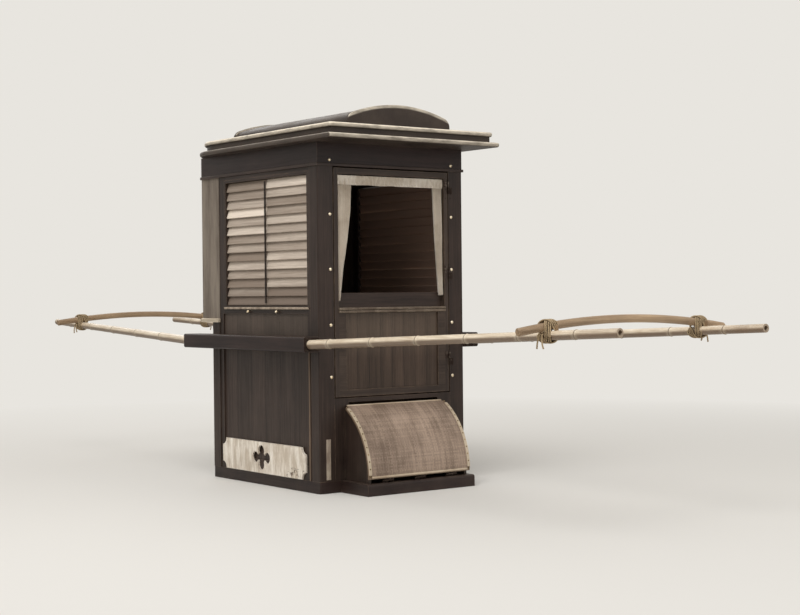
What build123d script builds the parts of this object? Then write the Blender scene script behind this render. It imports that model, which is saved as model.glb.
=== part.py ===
from build123d import *
import math
import os

# Closed sedan chair in millimetres. The front faces -Y, the chair's own left side is +X, +Z is up.
# The origin lies on the ground, below the middle of the carrying poles.

# Cabin: overall sizes
cabin_width = 780.0
cabin_depth = 874.0
wall_top = 1385.0
bay_depth = 118.0
bay_corner = 32.0
ledge_top = 733.0

# Framing
sill_height = 50.0
sill_width = 60.0
front_post_width = 78.0
rear_post_width = 60.0
post_depth = 60.0
post_round = 5.0
side_set_back = 4.0
side_thickness = 22.0
board = 14.0
floor_slit = 3.0
floor_board_count = 5

# Louvred shutters in the sides
louvre_front_stile = 29.0
louvre_back_stile = 58.0
louvre_bottom = 792.0
louvre_head = 35.0
shutter_stile = 12.0
shutter_depth = 30.0
slat_width = 44.0
slat_thickness = 6.0
slat_tilt = 18.0
slat_lap = 2.0
slat_end_gap = 1.0
tilt_bar_side = 7.0
tilt_bar_gap = 0.2
knob_spread = 235.0
knob_shift = 16.0
knob_gap = 3.0
knob_radius = 7.0
knob_neck = 3.5
knob_length = 15.0
sill_bead_height = 10.0
sill_bead_reach = 7.0
side_bead_radius = 6.0
side_bead_shift = 14.0

# Lower side panel and the pale plate on it
panel_lift = 60.0
panel_rail = 25.0
panel_margin = 30.0
panel_thickness = 10.0
plate_front_margin = 42.0
plate_back_margin = 26.0
plate_lift = 1.0
plate_height = 138.0
plate_thickness = 8.0
plate_notch = 30.0
vent_shift = 14.0
vent_along = 48.0
vent_up = 30.0
vent_radius = 24.0
vent_eye = 29.0

# Back
back_thickness = 22.0
back_set_back = 2.0
bay_set_back = 2.0
ledge_thickness = 18.0
ledge_reach = 8.0
rail_height = 60.0
recess_depth = 6.0

# Frieze, ceiling and roof
frieze_height = 95.0
frieze_thickness = 24.0
bead_height = 12.0
bead_reach = 6.0
bead_drop = 5.0
eave_side = 68.0
eave_front = 190.0
eave_back = 30.0
eave_rear_corner = 188.0
roof_front_corner = 14.0
eave_thickness = 20.0
eave_opening_margin = 50.0
cove_height = 26.0
cove_inset = 34.0
cove_width = 26.0
lip_inset = 22.0
lip_thickness = 20.0
edge_round = 8.0
crown_side_margin = 188.0
crown_front_margin = 127.0
crown_back_margin = 155.0
crown_shoulder = 44.0
crown_rise = 98.0
crown_shoulder_round = 36.0
crown_wall = 12.0
crown_board = 14.0
crown_board_reach = 5.0
crown_board_round = 4.0

# Front frame, door and window
moving_gap = 5.0
front_frame_thickness = 22.0
foot_stile = 72.0
front_rail_top = 398.0
front_rail_height = 18.0
door_thickness = 26.0
door_stile = 21.0
door_head = 26.0
window_bottom = 781.0
door_panel_margin = 39.0
door_panel_lift = 29.0
door_panel_drop = 23.0
door_panel_thickness = 9.0
door_panel_set_back = 8.0
sash_lift = 27.0
sash_rail_height = 36.0
sash_cover = 40.0
sash_thickness = 12.0
moulding_height = 9.0
moulding_reach = 7.0
moulding_gap = 2.0
door_knob_z = 622.0
door_knob_inset = 28.0
door_knob_neck = 5.0
door_knob_radius = 9.0
door_knob_length = 24.0
hinge_foot = 117.0
hinge_head = 94.0
hinge_length = 60.0
hinge_plate = 1.6
hinge_leaf = 20.0
knuckle_radius = 4.0
knuckle_gap = 0.5
pin_radius = 2.0
pin_clearance = 0.08

# Curtains on the door: each drape's widths at shares of its drop, and its foot above the window's foot
soft_gap = 0.4
curtain_thickness = 12.0
rod_radius = 3.0
rod_drop = 7.0
valance_height = 50.0
near_drape = ((72.0, 0.02), (60.0, 0.35), (28.0, 0.69), (11.0, 1.0))
near_drape_lift = 29.0
far_drape = ((56.0, 0.02), (50.0, 0.37), (34.0, 0.72), (24.0, 1.0))
far_drape_lift = 49.0

# Foot box with its curved apron
foot_board_reach = 15.0
foot_board_side = 15.0
foot_board_round = 12.0
apron_side = 30.0
apron_reach = 184.0
apron_foot_gap = 18.0
apron_head_gap = 11.0
apron_thickness = 8.0
apron_corner = 22.0
rim_width = 14.0
rim_height = 3.5
rim_start = 3.0
batten_height = 26.0
batten_thickness = 12.0
batten_gap = 1.0
cheek_thickness = 12.0
cheek_inset = 8.0
apron_hinge_lift = 9.0
apron_hinge_inset = 100.0
apron_hinge_length = 56.0
apron_knuckle = 4.5
foot_leaf = 26.0

# Seat
seat_height = 420.0
seat_depth = 453.0
seat_thickness = 18.0
seat_front_inset = 14.0
cushion_thickness = 48.0
cushion_margin = 72.0
cushion_inset = 4.0
back_cushion_thickness = 42.0
back_cushion_drop = 21.0
cushion_round = 14.0

# Poles, their housings and the yokes
pole_stand_off = 30.0
pole_height = 630.0
pole_radius = 19.5
pole_end_radius = 16.0
pole_clearance = 0.5
pole_shoulder = 40.0
pole_end = 2180.0
pole_end_offset = 366.0
pole_end_rise = 72.0
pole_hollow_radius = 9.0
pole_hollow_depth = 30.0
bamboo_spacing = 280.0
bamboo_margin = 60.0
bamboo_ridge = 1.6
bamboo_ridge_half = 7.0
housing_wall = 10.0
housing_front_reach = 8.0
housing_back_reach = 15.0
housing_round = 9.0
ferrule_thickness = 4.0
ferrule_margin = 4.0
mouth_gap = 10.0
yoke_inset = 337.0
yoke_reach = 154.0
yoke_radius = 15.0
yoke_rise = 21.0
yoke_chamfer = 3.0
lashing_half = 27.0
lashing_cover = 6.0
lashing_round = 9.0
peg_radius = 6.0
peg_height = 52.0
peg_distance = 44.0

# Places of the cabin's frame, worked out from the sizes above
half_width = cabin_width / 2
front_y = -cabin_depth / 2
back_y = cabin_depth / 2
bay_y = back_y + bay_depth
front_post_x = half_width - front_post_width
rear_post_x = half_width - rear_post_width
post_front_y = front_y + post_depth
post_back_y = back_y - post_depth
side_outer = half_width - side_set_back
side_inner = side_outer - side_thickness
ledge_bottom = ledge_top - ledge_thickness
lower_back_y = back_y - back_set_back
back_inner_y = lower_back_y - back_thickness
frieze_top = wall_top + frieze_height
eave_top = frieze_top + eave_thickness
cove_top = eave_top + cove_height
lip_top = cove_top + lip_thickness
floor_top = sill_height + board
bay_outer = half_width - bay_set_back
bay_inner = bay_outer - board
seat_front_y = back_inner_y - seat_depth

# Places of the shutters and the side plates
louvre_front = post_front_y + louvre_front_stile
louvre_back = post_back_y - louvre_back_stile
louvre_middle = (louvre_front + louvre_back) / 2
louvre_top = wall_top - louvre_head
sill_bead_bottom = louvre_bottom - shutter_stile - sill_bead_height / 2
knob_z = sill_bead_bottom - knob_gap - knob_radius
slat_x = side_outer - shutter_depth / 2
slat_lean = math.radians(slat_tilt)
slat_rise = (slat_width - slat_thickness) * math.cos(slat_lean) + slat_thickness
slat_span = louvre_top - louvre_bottom - 2 * slat_end_gap - slat_rise
slat_steps = math.ceil(slat_span / (slat_rise - slat_lap))
slat_pitch = slat_span / slat_steps
slat_foot = louvre_bottom + slat_end_gap + slat_rise / 2
panel_y = (post_front_y + panel_margin, post_back_y - panel_margin)
panel_z = (sill_height + panel_lift, louvre_bottom - shutter_stile - panel_rail)
plate_y = (post_front_y + plate_front_margin, post_back_y - plate_back_margin)

# Places of the roof's outlines
roof_half_width = half_width + eave_side
roof_front_y = front_y - eave_front
roof_back_y = bay_y + eave_back
roof_rear_corner = bay_corner + eave_rear_corner
crown_half_width = roof_half_width - crown_side_margin
crown_front_y = roof_front_y + crown_front_margin
crown_back_y = roof_back_y - crown_back_margin

# Places of the door, its window and its panel
door_half = front_post_x - moving_gap
door_bottom = front_rail_top + moving_gap
door_top = wall_top - bead_drop - moving_gap - 1
door_back_y = front_y + door_thickness
window_half = door_half - door_stile
window_top = door_top - door_head
door_panel_half = window_half - door_panel_margin
door_panel_bottom = door_bottom + door_panel_lift
door_panel_top = window_bottom - door_panel_drop
sash_bottom = window_bottom + sash_lift
hinge_span = (door_bottom + hinge_foot, door_top - hinge_head)
hinge_heights = (hinge_span[0], sum(hinge_span) / 2, hinge_span[1])

# Places of the foot box
front_rail_bottom = front_rail_top - front_rail_height
foot_opening_half = front_post_x - foot_stile
apron_half = foot_opening_half + apron_side
apron_front = apron_reach - front_y
apron_bottom = sill_height + apron_foot_gap
apron_top = front_rail_bottom - apron_head_gap
cheek_outer = apron_half - cheek_inset
foot_board_half = apron_half + foot_board_side
foot_board_front = apron_front + foot_board_reach
apron_hinge_z = sill_height + apron_hinge_lift
apron_hinge_places = (apron_hinge_inset - apron_half, 0.0, apron_half - apron_hinge_inset)

# Places of the poles and their housings
bore_radius = pole_radius + pole_clearance
pole_offset = half_width + pole_stand_off + bore_radius
housing_outer = pole_offset + bore_radius + housing_wall
housing_half = bore_radius + housing_wall + 2
housing_z = (pole_height - housing_half, pole_height + housing_half)
housing_front = housing_front_reach - front_y
housing_back = bay_y + housing_back_reach
pole_end_height = pole_height + pole_end_rise
yoke_place = pole_end - yoke_inset
yoke_half = pole_end_offset + yoke_reach

pieces = {}


def keep(name, built):
    """Label one finished piece and hold it for writing."""
    built.part.label = name
    pieces[name] = built.part


def keep_pair(name, built):
    """Keep a piece of the left side and its mirror image on the right side."""
    keep(name + "_left", built)
    with BuildPart() as other:
        mirror(built.part, about=Plane.YZ)
    keep(name + "_right", other)


def keep_both(name, built):
    """Keep a piece of the left side together with its mirror image in one node."""
    with BuildPart() as both:
        add(built.part)
        mirror(built.part, about=Plane.YZ)
    keep(name, both)


def block(x, y, z, mode=Mode.ADD):
    """Straight-sided timber between two limits on each axis, in the current part."""
    middle = ((x[0] + x[1]) / 2, (y[0] + y[1]) / 2, (z[0] + z[1]) / 2)
    with Locations(middle):
        Box(x[1] - x[0], y[1] - y[0], z[1] - z[0], mode=mode)


def rectangle(across, up, mode=Mode.ADD):
    """Rectangle between two limits on each axis of the current sketch."""
    with Locations(((across[0] + across[1]) / 2, (up[0] + up[1]) / 2)):
        Rectangle(across[1] - across[0], up[1] - up[0], mode=mode)


def plan_outline(half, front, back, rear_corner, mode=Mode.ADD, front_corner=0.0):
    """Plan with rounded rear corners, as the upper cabin and the roof boards share it."""
    with BuildSketch(mode=Mode.PRIVATE) as outline:
        rectangle((-half, half), (front, back))
        fillet(outline.vertices().group_by(Axis.Y)[-1], rear_corner)
        if front_corner:
            fillet(outline.vertices().group_by(Axis.Y)[0], front_corner)
    add(outline.sketch, mode=mode)


def turned_knob(foot, outward, neck, ball, length):
    """Turned knob: a short neck that ends in a ball, standing outward from its foot."""
    centre = length - ball
    meeting = centre - math.sqrt(ball**2 - neck**2)
    upright = Vector(0, 0, 1).cross(outward)
    with BuildSketch(Plane(foot, x_dir=outward, z_dir=upright)) as profile:
        with BuildLine():
            Polyline((0, 0), (0, neck), (meeting, neck))
            ThreePointArc((meeting, neck), (centre, ball), (length, 0))
            Line((length, 0), (0, 0))
        make_face()
    return profile.sketch, Axis(foot, outward)


# Base: a frame of two side sills and three cross sills, with the floor on it
with BuildPart() as base_frame:
    block((-half_width, half_width), (front_y, back_y), (0, sill_height))
    fillet(base_frame.edges().filter_by(Axis.Z), post_round)
    bay_edges = (front_y, seat_front_y - sill_width / 2, back_y - sill_width)
    for start, end in zip(bay_edges, bay_edges[1:]):
        block((-rear_post_x, rear_post_x), (start + sill_width, end), (0, sill_height), Mode.SUBTRACT)
keep("base_frame", base_frame)

with BuildPart() as floor_boards:
    with BuildSketch(Plane.XY.offset(sill_height)):
        rectangle((-side_inner, side_inner), (post_front_y, post_back_y))
        rectangle((-front_post_x, front_post_x), (front_y + front_frame_thickness, post_front_y))
        rectangle((-rear_post_x, rear_post_x), (post_back_y, back_inner_y))
        for number in range(1, floor_board_count):
            slit_x = side_inner * (2 * number / floor_board_count - 1)
            slit = (slit_x - floor_slit / 2, slit_x + floor_slit / 2)
            rectangle(slit, (front_y, back_y), mode=Mode.SUBTRACT)
    extrude(amount=board)
keep("floor_boards", floor_boards)

# Posts: the front pair runs up to the frieze, the rear pair is stepped in behind the bay's shell
with BuildPart() as corner_posts:
    for side in (-1, 1):
        across = sorted((side * front_post_x, side * half_width))
        block(across, (front_y, post_front_y), (sill_height, wall_top))
    arrises = corner_posts.edges().filter_by(Axis.Z).group_by(Axis.Y)[0].sort_by(Axis.X)
    fillet((arrises[0], arrises[-1]), post_round)
    for side in (-1, 1):
        lower = sorted((side * rear_post_x, side * half_width))
        block(lower, (post_back_y, back_y), (sill_height, ledge_bottom))
        upper = sorted((side * (bay_inner - rear_post_width), side * bay_inner))
        block(upper, (post_back_y, back_y), (ledge_top, wall_top))
keep("corner_posts", corner_posts)

# Sides: a framed wall with a plain panel below and a louvred shutter above
shutter_y = (louvre_front - shutter_stile, louvre_back + shutter_stile)
shutter_z = (louvre_bottom - shutter_stile, louvre_top + shutter_stile)

with BuildPart() as side_frame:
    with BuildSketch(Plane.YZ.offset(side_inner)):
        rectangle((post_front_y, post_back_y), (sill_height, wall_top))
        rectangle(shutter_y, shutter_z, mode=Mode.SUBTRACT)
        rectangle(panel_y, panel_z, mode=Mode.SUBTRACT)
    extrude(amount=side_thickness)
keep_pair("side_frame", side_frame)

# Panel of each side, and the half-round bead that runs from the base to the pole housing before it
with BuildPart() as side_panel:
    block((side_outer - panel_thickness - recess_depth, side_outer - recess_depth), panel_y, panel_z)
    with BuildSketch(Plane.XY.offset(sill_height)):
        with Locations((side_outer, post_front_y + side_bead_shift)):
            Circle(side_bead_radius)
            width = 2 * side_bead_radius
            Rectangle(width, width, align=(Align.MAX, Align.CENTER), mode=Mode.SUBTRACT)
    extrude(amount=housing_z[0] - sill_height)
keep_both("side_panels", side_panel)

with BuildPart() as shutter_frame:
    with BuildSketch(Plane.YZ.offset(side_outer - shutter_depth)):
        rectangle(shutter_y, shutter_z)
        rectangle((louvre_front, louvre_back), (louvre_bottom, louvre_top), mode=Mode.SUBTRACT)
    extrude(amount=shutter_depth)
keep_both("shutter_frames", shutter_frame)

with BuildPart() as louvre_slats:
    with BuildSketch(Plane.XZ.offset(-louvre_front)):
        for number in range(slat_steps + 1):
            with Locations((slat_x, slat_foot + slat_pitch * number)):
                SlotOverall(slat_width, slat_thickness, rotation=90 + slat_tilt)
    extrude(amount=louvre_front - louvre_back)
keep_pair("louvre_slats", louvre_slats)

slat_reach = (slat_width - slat_thickness) / 2 * math.sin(slat_lean) + slat_thickness / 2
bar_x = slat_x + slat_reach
with BuildPart() as tilt_bars:
    bar_half = tilt_bar_side / 2
    for side in (-1, 1):
        across = sorted((side * (bar_x + tilt_bar_gap), side * (bar_x + tilt_bar_gap + tilt_bar_side)))
        along = (louvre_middle - bar_half, louvre_middle + bar_half)
        block(across, along, (louvre_bottom + slat_pitch / 4, louvre_top - slat_pitch / 4))
    chamfer(tilt_bars.edges().filter_by(Axis.Z), 1.2)
keep("tilt_bars", tilt_bars)

with BuildPart() as shutter_knobs:
    for side in (-1, 1):
        for place in (-knob_spread / 2, knob_spread / 2):
            foot = Vector(side * side_outer, louvre_middle + knob_shift + place, knob_z)
            profile, run = turned_knob(foot, Vector(side, 0, 0), knob_neck, knob_radius, knob_length)
            revolve(profile, axis=run)
keep("shutter_knobs", shutter_knobs)

with BuildPart() as shutter_sill:
    up = (sill_bead_bottom, sill_bead_bottom + sill_bead_height)
    block((side_outer, side_outer + sill_bead_reach), shutter_y, up)
    fillet(shutter_sill.edges().filter_by(Axis.Y).group_by(Axis.X)[-1], sill_bead_reach / 2)
keep_both("shutter_sills", shutter_sill)

# Pale plate with notched corners and a pierced quatrefoil
with BuildPart() as side_plate:
    with BuildSketch(Plane.YZ.offset(side_outer)):
        plate_middle = sill_height + plate_lift + plate_height / 2
        with Locations((sum(plate_y) / 2, plate_middle)):
            Rectangle(plate_y[1] - plate_y[0], plate_height)
            with GridLocations(plate_y[1] - plate_y[0], plate_height, 2, 2):
                Circle(plate_notch, mode=Mode.SUBTRACT)
        with Locations((sum(plate_y) / 2 + vent_shift, plate_middle)):
            Circle(vent_eye, mode=Mode.SUBTRACT)
            with Locations((-vent_along, 0), (vent_along, 0), (0, -vent_up), (0, vent_up)):
                Circle(vent_radius, mode=Mode.SUBTRACT)
    extrude(amount=plate_thickness)
keep_both("side_plates", side_plate)

# Back: a panelled lower wall, a ledge and the rounded bay above it
with BuildPart() as back_panel:
    block((-rear_post_x, rear_post_x), (back_inner_y, lower_back_y), (sill_height, ledge_bottom))
    with BuildSketch(Plane.XZ.offset(-lower_back_y)):
        middle_z = (sill_height + ledge_bottom) / 2
        field_width = rear_post_x - 1.5 * rail_height
        with Locations((0, middle_z)):
            with GridLocations(field_width + rail_height, 0, 2, 1):
                Rectangle(field_width, ledge_bottom - sill_height - 2 * rail_height)
    extrude(amount=recess_depth, mode=Mode.SUBTRACT)
keep("back_panel", back_panel)

with BuildPart() as back_ledge:
    with BuildSketch(Plane.XY.offset(ledge_bottom)):
        plan_outline(half_width + ledge_reach, post_back_y, bay_y + ledge_reach, bay_corner + ledge_reach)
    extrude(amount=ledge_thickness)
    fillet(back_ledge.faces().group_by(Axis.Z)[-1].edges(), ledge_thickness / 3)
keep("back_ledge", back_ledge)

with BuildPart() as back_bay:
    with BuildSketch(Plane.XY.offset(ledge_top)):
        plan_outline(bay_outer, post_back_y, bay_y, bay_corner)
        plan_outline(bay_inner, post_back_y - board, bay_y - board, bay_corner - board, mode=Mode.SUBTRACT)
    extrude(amount=wall_top - ledge_top)
keep("back_bay", back_bay)

# Frieze with its bead, and the ceiling
with BuildPart() as frieze:
    with BuildSketch(Plane.XY.offset(wall_top)):
        plan_outline(half_width, front_y, bay_y, bay_corner)
        inner = half_width - frieze_thickness
        inside_corner = bay_corner - frieze_thickness
        front = front_y + frieze_thickness
        plan_outline(inner, front, bay_y - frieze_thickness, inside_corner, mode=Mode.SUBTRACT)
    extrude(amount=frieze_height)
keep("frieze", frieze)

with BuildPart() as frieze_bead:
    with BuildSketch(Plane.XY.offset(wall_top - bead_drop)):
        outer_corner = bay_corner + bead_reach
        plan_outline(half_width + bead_reach, front_y - bead_reach, bay_y + bead_reach, outer_corner)
        plan_outline(half_width, front_y, bay_y, bay_corner, mode=Mode.SUBTRACT)
    extrude(amount=bead_height)
    outline_edges = frieze_bead.faces().sort_by(Axis.Z)[-1].outer_wire().edges()
    fillet(outline_edges, bead_reach / 2)
keep("frieze_bead", frieze_bead)

with BuildPart() as ceiling:
    with BuildSketch(Plane.XY.offset(frieze_top - board)):
        inner = half_width - frieze_thickness
        inside_corner = bay_corner - frieze_thickness
        plan_outline(inner, front_y + frieze_thickness, bay_y - frieze_thickness, inside_corner)
    extrude(amount=board)
keep("ceiling", ceiling)

# Roof: a wide eave board, a set-back cove, an upper board and the vaulted crown
opening_half = half_width - eave_opening_margin
opening_front = front_y + eave_opening_margin
opening_back = bay_y - eave_opening_margin
with BuildPart() as roof_eave:
    with BuildSketch(Plane.XY.offset(frieze_top)):
        corner = roof_front_corner
        plan_outline(roof_half_width, roof_front_y, roof_back_y, roof_rear_corner, front_corner=corner)
    extrude(amount=eave_thickness)
    fillet(roof_eave.faces().filter_by(Axis.Z).edges(), edge_round)
    block((-opening_half, opening_half), (opening_front, opening_back), (frieze_top, eave_top), Mode.SUBTRACT)
keep("roof_eave", roof_eave)

with BuildPart() as roof_cove:
    with BuildSketch(Plane.XY.offset(eave_top)):
        half = roof_half_width - cove_inset
        front = roof_front_y + cove_inset
        back = roof_back_y - cove_inset
        corner = roof_rear_corner - cove_inset
        plan_outline(half, front, back, corner)
        width = cove_width
        plan_outline(half - width, front + width, back - width, corner - width, mode=Mode.SUBTRACT)
    extrude(amount=cove_height)
keep("roof_cove", roof_cove)

crown_inner = crown_half_width - crown_wall
with BuildPart() as roof_lip:
    with BuildSketch(Plane.XY.offset(cove_top)):
        half = roof_half_width - lip_inset
        corner = roof_rear_corner - lip_inset
        front = roof_front_y + lip_inset
        back = roof_back_y - lip_inset
        plan_outline(half, front, back, corner, front_corner=roof_front_corner)
    extrude(amount=lip_thickness)
    fillet(roof_lip.faces().filter_by(Axis.Z).edges(), edge_round)
    hole_y = (crown_front_y + crown_wall, crown_back_y - crown_wall)
    block((-crown_inner, crown_inner), hole_y, (cove_top, lip_top), Mode.SUBTRACT)
keep("roof_lip", roof_lip)


def crown_profile(inset, place):
    """Low basket arch of the crown, drawn inwards by an inset, at a place along the roof."""
    half = crown_half_width - inset
    shoulder = lip_top + crown_shoulder - inset
    top = lip_top + crown_rise - inset
    with BuildSketch(Plane.XZ.offset(-place)) as profile:
        with BuildLine():
            Polyline((-half, shoulder), (-half, lip_top), (half, lip_top), (half, shoulder))
            ThreePointArc((half, shoulder), (0, top), (-half, shoulder))
        make_face()
        fillet(profile.vertices().group_by(Axis.Y)[-1], crown_shoulder_round - inset)
    return profile.sketch


# The vault runs between two end boards, whose rounded edges stand a little proud of it
with BuildPart() as roof_crown:
    extrude(crown_profile(0, crown_front_y), amount=crown_front_y - crown_back_y)
    for place in (crown_front_y, crown_back_y - crown_board):
        extrude(crown_profile(-crown_board_reach, place), amount=-crown_board)
    for end in (0, -1):
        face = roof_crown.faces().sort_by(Axis.Y)[end]
        arch = face.edges().filter_by(lambda edge: edge.center().Z > lip_top + 1)
        fillet(arch, crown_board_round)
    hollow = crown_profile(crown_wall, crown_front_y + crown_wall)
    extrude(hollow, amount=crown_front_y - crown_back_y + 2 * crown_wall, mode=Mode.SUBTRACT)
keep("roof_crown", roof_crown)

# Front frame below the door: a rail and two stiles round the foot opening
with BuildPart() as front_frame:
    with BuildSketch(Plane.XZ.offset(-front_y)):
        rectangle((-front_post_x, front_post_x), (sill_height, front_rail_top))
        rectangle((-foot_opening_half, foot_opening_half), (sill_height, front_rail_bottom), mode=Mode.SUBTRACT)
    extrude(amount=-front_frame_thickness)
keep("front_frame", front_frame)

# Door: a framed leaf with a window, a lowered sash rail, a lower panel and mouldings
with BuildPart() as door_frame:
    with BuildSketch(Plane.XZ.offset(-front_y)):
        rectangle((-door_half, door_half), (door_bottom, door_top))
        rectangle((-window_half, window_half), (window_bottom, window_top), mode=Mode.SUBTRACT)
        rectangle((-door_panel_half, door_panel_half), (door_panel_bottom, door_panel_top), mode=Mode.SUBTRACT)
    extrude(amount=-door_thickness)
keep("door_frame", door_frame)

with BuildPart() as door_panel:
    panel_front = front_y + door_panel_set_back
    along = (panel_front, panel_front + door_panel_thickness)
    block((-door_panel_half, door_panel_half), along, (door_panel_bottom, door_panel_top))
keep("door_panel", door_panel)

with BuildPart() as door_mouldings:
    for low in (window_bottom - moulding_height, door_panel_top + moulding_gap):
        block((-window_half, window_half), (front_y - moulding_reach, front_y), (low, low + moulding_height))
    fillet(door_mouldings.edges().filter_by(Axis.X).group_by(Axis.Y)[0], moulding_reach / 3)
keep("door_mouldings", door_mouldings)

with BuildPart() as sash_rail:
    along = (door_back_y, door_back_y + sash_thickness)
    block((-window_half, window_half), along, (sash_bottom, sash_bottom + sash_rail_height))
    block((-door_half, door_half), along, (window_bottom - sash_cover, sash_bottom))
keep("sash_rail", sash_rail)

# Butt hinges: the post's half carries the pin, the door's half turns on it; the knob is on the door
hinge_x = door_half + moving_gap / 2
hinge_y = front_y - knuckle_radius
half_knuckle = (hinge_length - knuckle_gap) / 2
with BuildPart() as post_hinges:
    for low in hinge_heights:
        with Locations((hinge_x, hinge_y, low)):
            Cylinder(knuckle_radius, half_knuckle, align=(Align.CENTER, Align.CENTER, Align.MIN))
            Cylinder(pin_radius, hinge_length, align=(Align.CENTER, Align.CENTER, Align.MIN))
        leaf = (hinge_x, front_post_x + hinge_leaf)
        block(leaf, (front_y - hinge_plate, front_y), (low, low + half_knuckle))

with BuildPart() as door_fittings:
    for low in hinge_heights:
        start = low + half_knuckle + knuckle_gap
        with Locations((hinge_x, hinge_y, start)):
            Cylinder(knuckle_radius, half_knuckle, align=(Align.CENTER, Align.CENTER, Align.MIN))
        leaf = (door_half - hinge_leaf, hinge_x)
        block(leaf, (front_y - hinge_plate, front_y), (start, start + half_knuckle))
        with Locations((hinge_x, hinge_y, start)):
            bore = pin_radius + pin_clearance
            Cylinder(bore, half_knuckle, align=(Align.CENTER, Align.CENTER, Align.MIN), mode=Mode.SUBTRACT)
    foot = Vector(door_knob_inset - door_half, front_y, door_knob_z)
    profile, run = turned_knob(foot, Vector(0, -1, 0), door_knob_neck, door_knob_radius, door_knob_length)
    revolve(profile, axis=run)
keep("door_fittings", door_fittings)

# Curtains hang in the window's reveal on a thin rod
curtain_y = front_y + door_thickness / 2
rod_z = window_top - rod_drop
with BuildPart() as curtain_rod:
    with BuildSketch(Plane.YZ.offset(-window_half)):
        with Locations((curtain_y, rod_z)):
            Circle(rod_radius)
    extrude(amount=2 * window_half)
keep("curtain_rod", curtain_rod)

valance_bottom = rod_z - rod_radius - valance_height
curtain_edge = window_half - soft_gap
with BuildPart() as curtain_valance:
    reach = curtain_thickness / 2
    along = (curtain_y - reach, curtain_y + reach)
    block((-curtain_edge, curtain_edge), along, (valance_bottom, rod_z - rod_radius - soft_gap))
keep("curtain_valance", curtain_valance)

with BuildPart() as curtain_drapes:
    with BuildSketch(Plane.XZ.offset(curtain_thickness / 2 - curtain_y)):
        top = valance_bottom - soft_gap
        for side, widths, lift in ((-1, near_drape, near_drape_lift), (1, far_drape, far_drape_lift)):
            edge = side * curtain_edge
            drop = top - window_bottom - lift
            inner = [(side * (window_half - width), top - share * drop) for width, share in widths]
            foot = (edge, inner[-1][1])
            with BuildLine():
                Polyline(foot, (edge, top), (inner[0][0], top), *inner, foot)
            make_face()
    extrude(amount=-curtain_thickness)
keep("curtain_drapes", curtain_drapes)

# Foot box: board, cheeks and the curved apron hinged at the board's front edge
with BuildPart() as foot_board:
    block((-foot_board_half, foot_board_half), (-foot_board_front, front_y), (0, sill_height))
    fillet(foot_board.edges().filter_by(Axis.X).group_by(Axis.Y)[0].sort_by(Axis.Z)[-1], foot_board_round)
keep("foot_board", foot_board)

# The apron is an arc that ends upright at its foot and meets the front below the rail
apron_rise = apron_top - apron_bottom
apron_radius = (apron_reach**2 + apron_rise**2) / (2 * apron_reach)
apron_centre = (apron_radius - apron_front, apron_bottom)
apron_inner = apron_radius - apron_thickness
apron_sweep = math.degrees(math.acos((apron_centre[0] - front_y + moving_gap) / apron_inner))


def arc_band(inner_radius, outer_radius, start, sweep):
    """Band of the apron's arc, from a start angle above its foot, on the current side plane."""
    first = 180 - start
    last = 180 - start - sweep
    with BuildLine(mode=Mode.PRIVATE) as border:
        outer = CenterArc(apron_centre, outer_radius, first, -sweep)
        inner = CenterArc(apron_centre, inner_radius, last, sweep)
        Line(outer @ 1, inner @ 0)
        Line(inner @ 1, outer @ 0)
    make_face(border.line)


with BuildPart() as apron_sheet:
    with BuildSketch(Plane.YZ.offset(-apron_half)):
        arc_band(apron_inner, apron_radius, 0, apron_sweep)
    extrude(amount=2 * apron_half)
    short = apron_sheet.edges().filter_by(lambda edge: abs(edge.length - apron_thickness) < 0.1)
    fillet(short.group_by(Axis.Z)[-1], apron_corner)
keep("apron_sheet", apron_sheet)

corner_angle = math.degrees(apron_corner / apron_radius)
with BuildPart() as apron_rim:
    for side in (-1, 1):
        start_x = min(side * apron_half, side * (apron_half - rim_width))
        with BuildSketch(Plane.YZ.offset(start_x)):
            outer = apron_radius + rim_height
            arc_band(apron_radius, outer, rim_start, apron_sweep - rim_start - corner_angle)
        extrude(amount=rim_width)
keep("apron_rim", apron_rim)

with BuildPart() as apron_batten:
    batten_half = cheek_outer - cheek_thickness - moving_gap - batten_gap
    with BuildSketch(Plane.YZ.offset(-batten_half)):
        batten_sweep = math.degrees(batten_height / apron_radius)
        arc_band(apron_inner - batten_thickness, apron_inner, 0, batten_sweep)
    extrude(amount=2 * batten_half)
keep("apron_batten", apron_batten)

with BuildPart() as foot_cheeks:
    cheek_radius = apron_inner - moving_gap
    cheek_rise = math.sqrt(cheek_radius**2 - (apron_centre[0] - front_y) ** 2)
    for side in (-1, 1):
        start_x = min(side * cheek_outer, side * (cheek_outer - cheek_thickness))
        with BuildSketch(Plane.YZ.offset(start_x)):
            with BuildLine():
                foot = (apron_centre[0] - cheek_radius, apron_bottom)
                head = (front_y, apron_bottom + cheek_rise)
                Polyline(head, (front_y, sill_height), (foot[0], sill_height), foot)
                RadiusArc(foot, head, cheek_radius)
            make_face()
        extrude(amount=cheek_thickness)
keep("foot_cheeks", foot_cheeks)

apron_hinge_y = -apron_front + apron_thickness / 2
knuckle_half = (apron_hinge_length - knuckle_gap) / 2
with BuildPart() as fixed_hinges:
    add(post_hinges.part)
    for place in apron_hinge_places:
        with BuildSketch(Plane.YZ.offset(place - apron_hinge_length / 2)):
            with Locations((apron_hinge_y, apron_hinge_z)):
                Circle(apron_knuckle)
            rectangle((apron_hinge_y, apron_hinge_y + apron_knuckle), (sill_height, apron_hinge_z))
            rectangle((apron_hinge_y, apron_hinge_y + foot_leaf), (sill_height, sill_height + hinge_plate))
        extrude(amount=knuckle_half)
        with BuildSketch(Plane.YZ.offset(place - apron_hinge_length / 2)):
            with Locations((apron_hinge_y, apron_hinge_z)):
                Circle(pin_radius)
        extrude(amount=apron_hinge_length)
keep("fixed_hinges", fixed_hinges)

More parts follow.
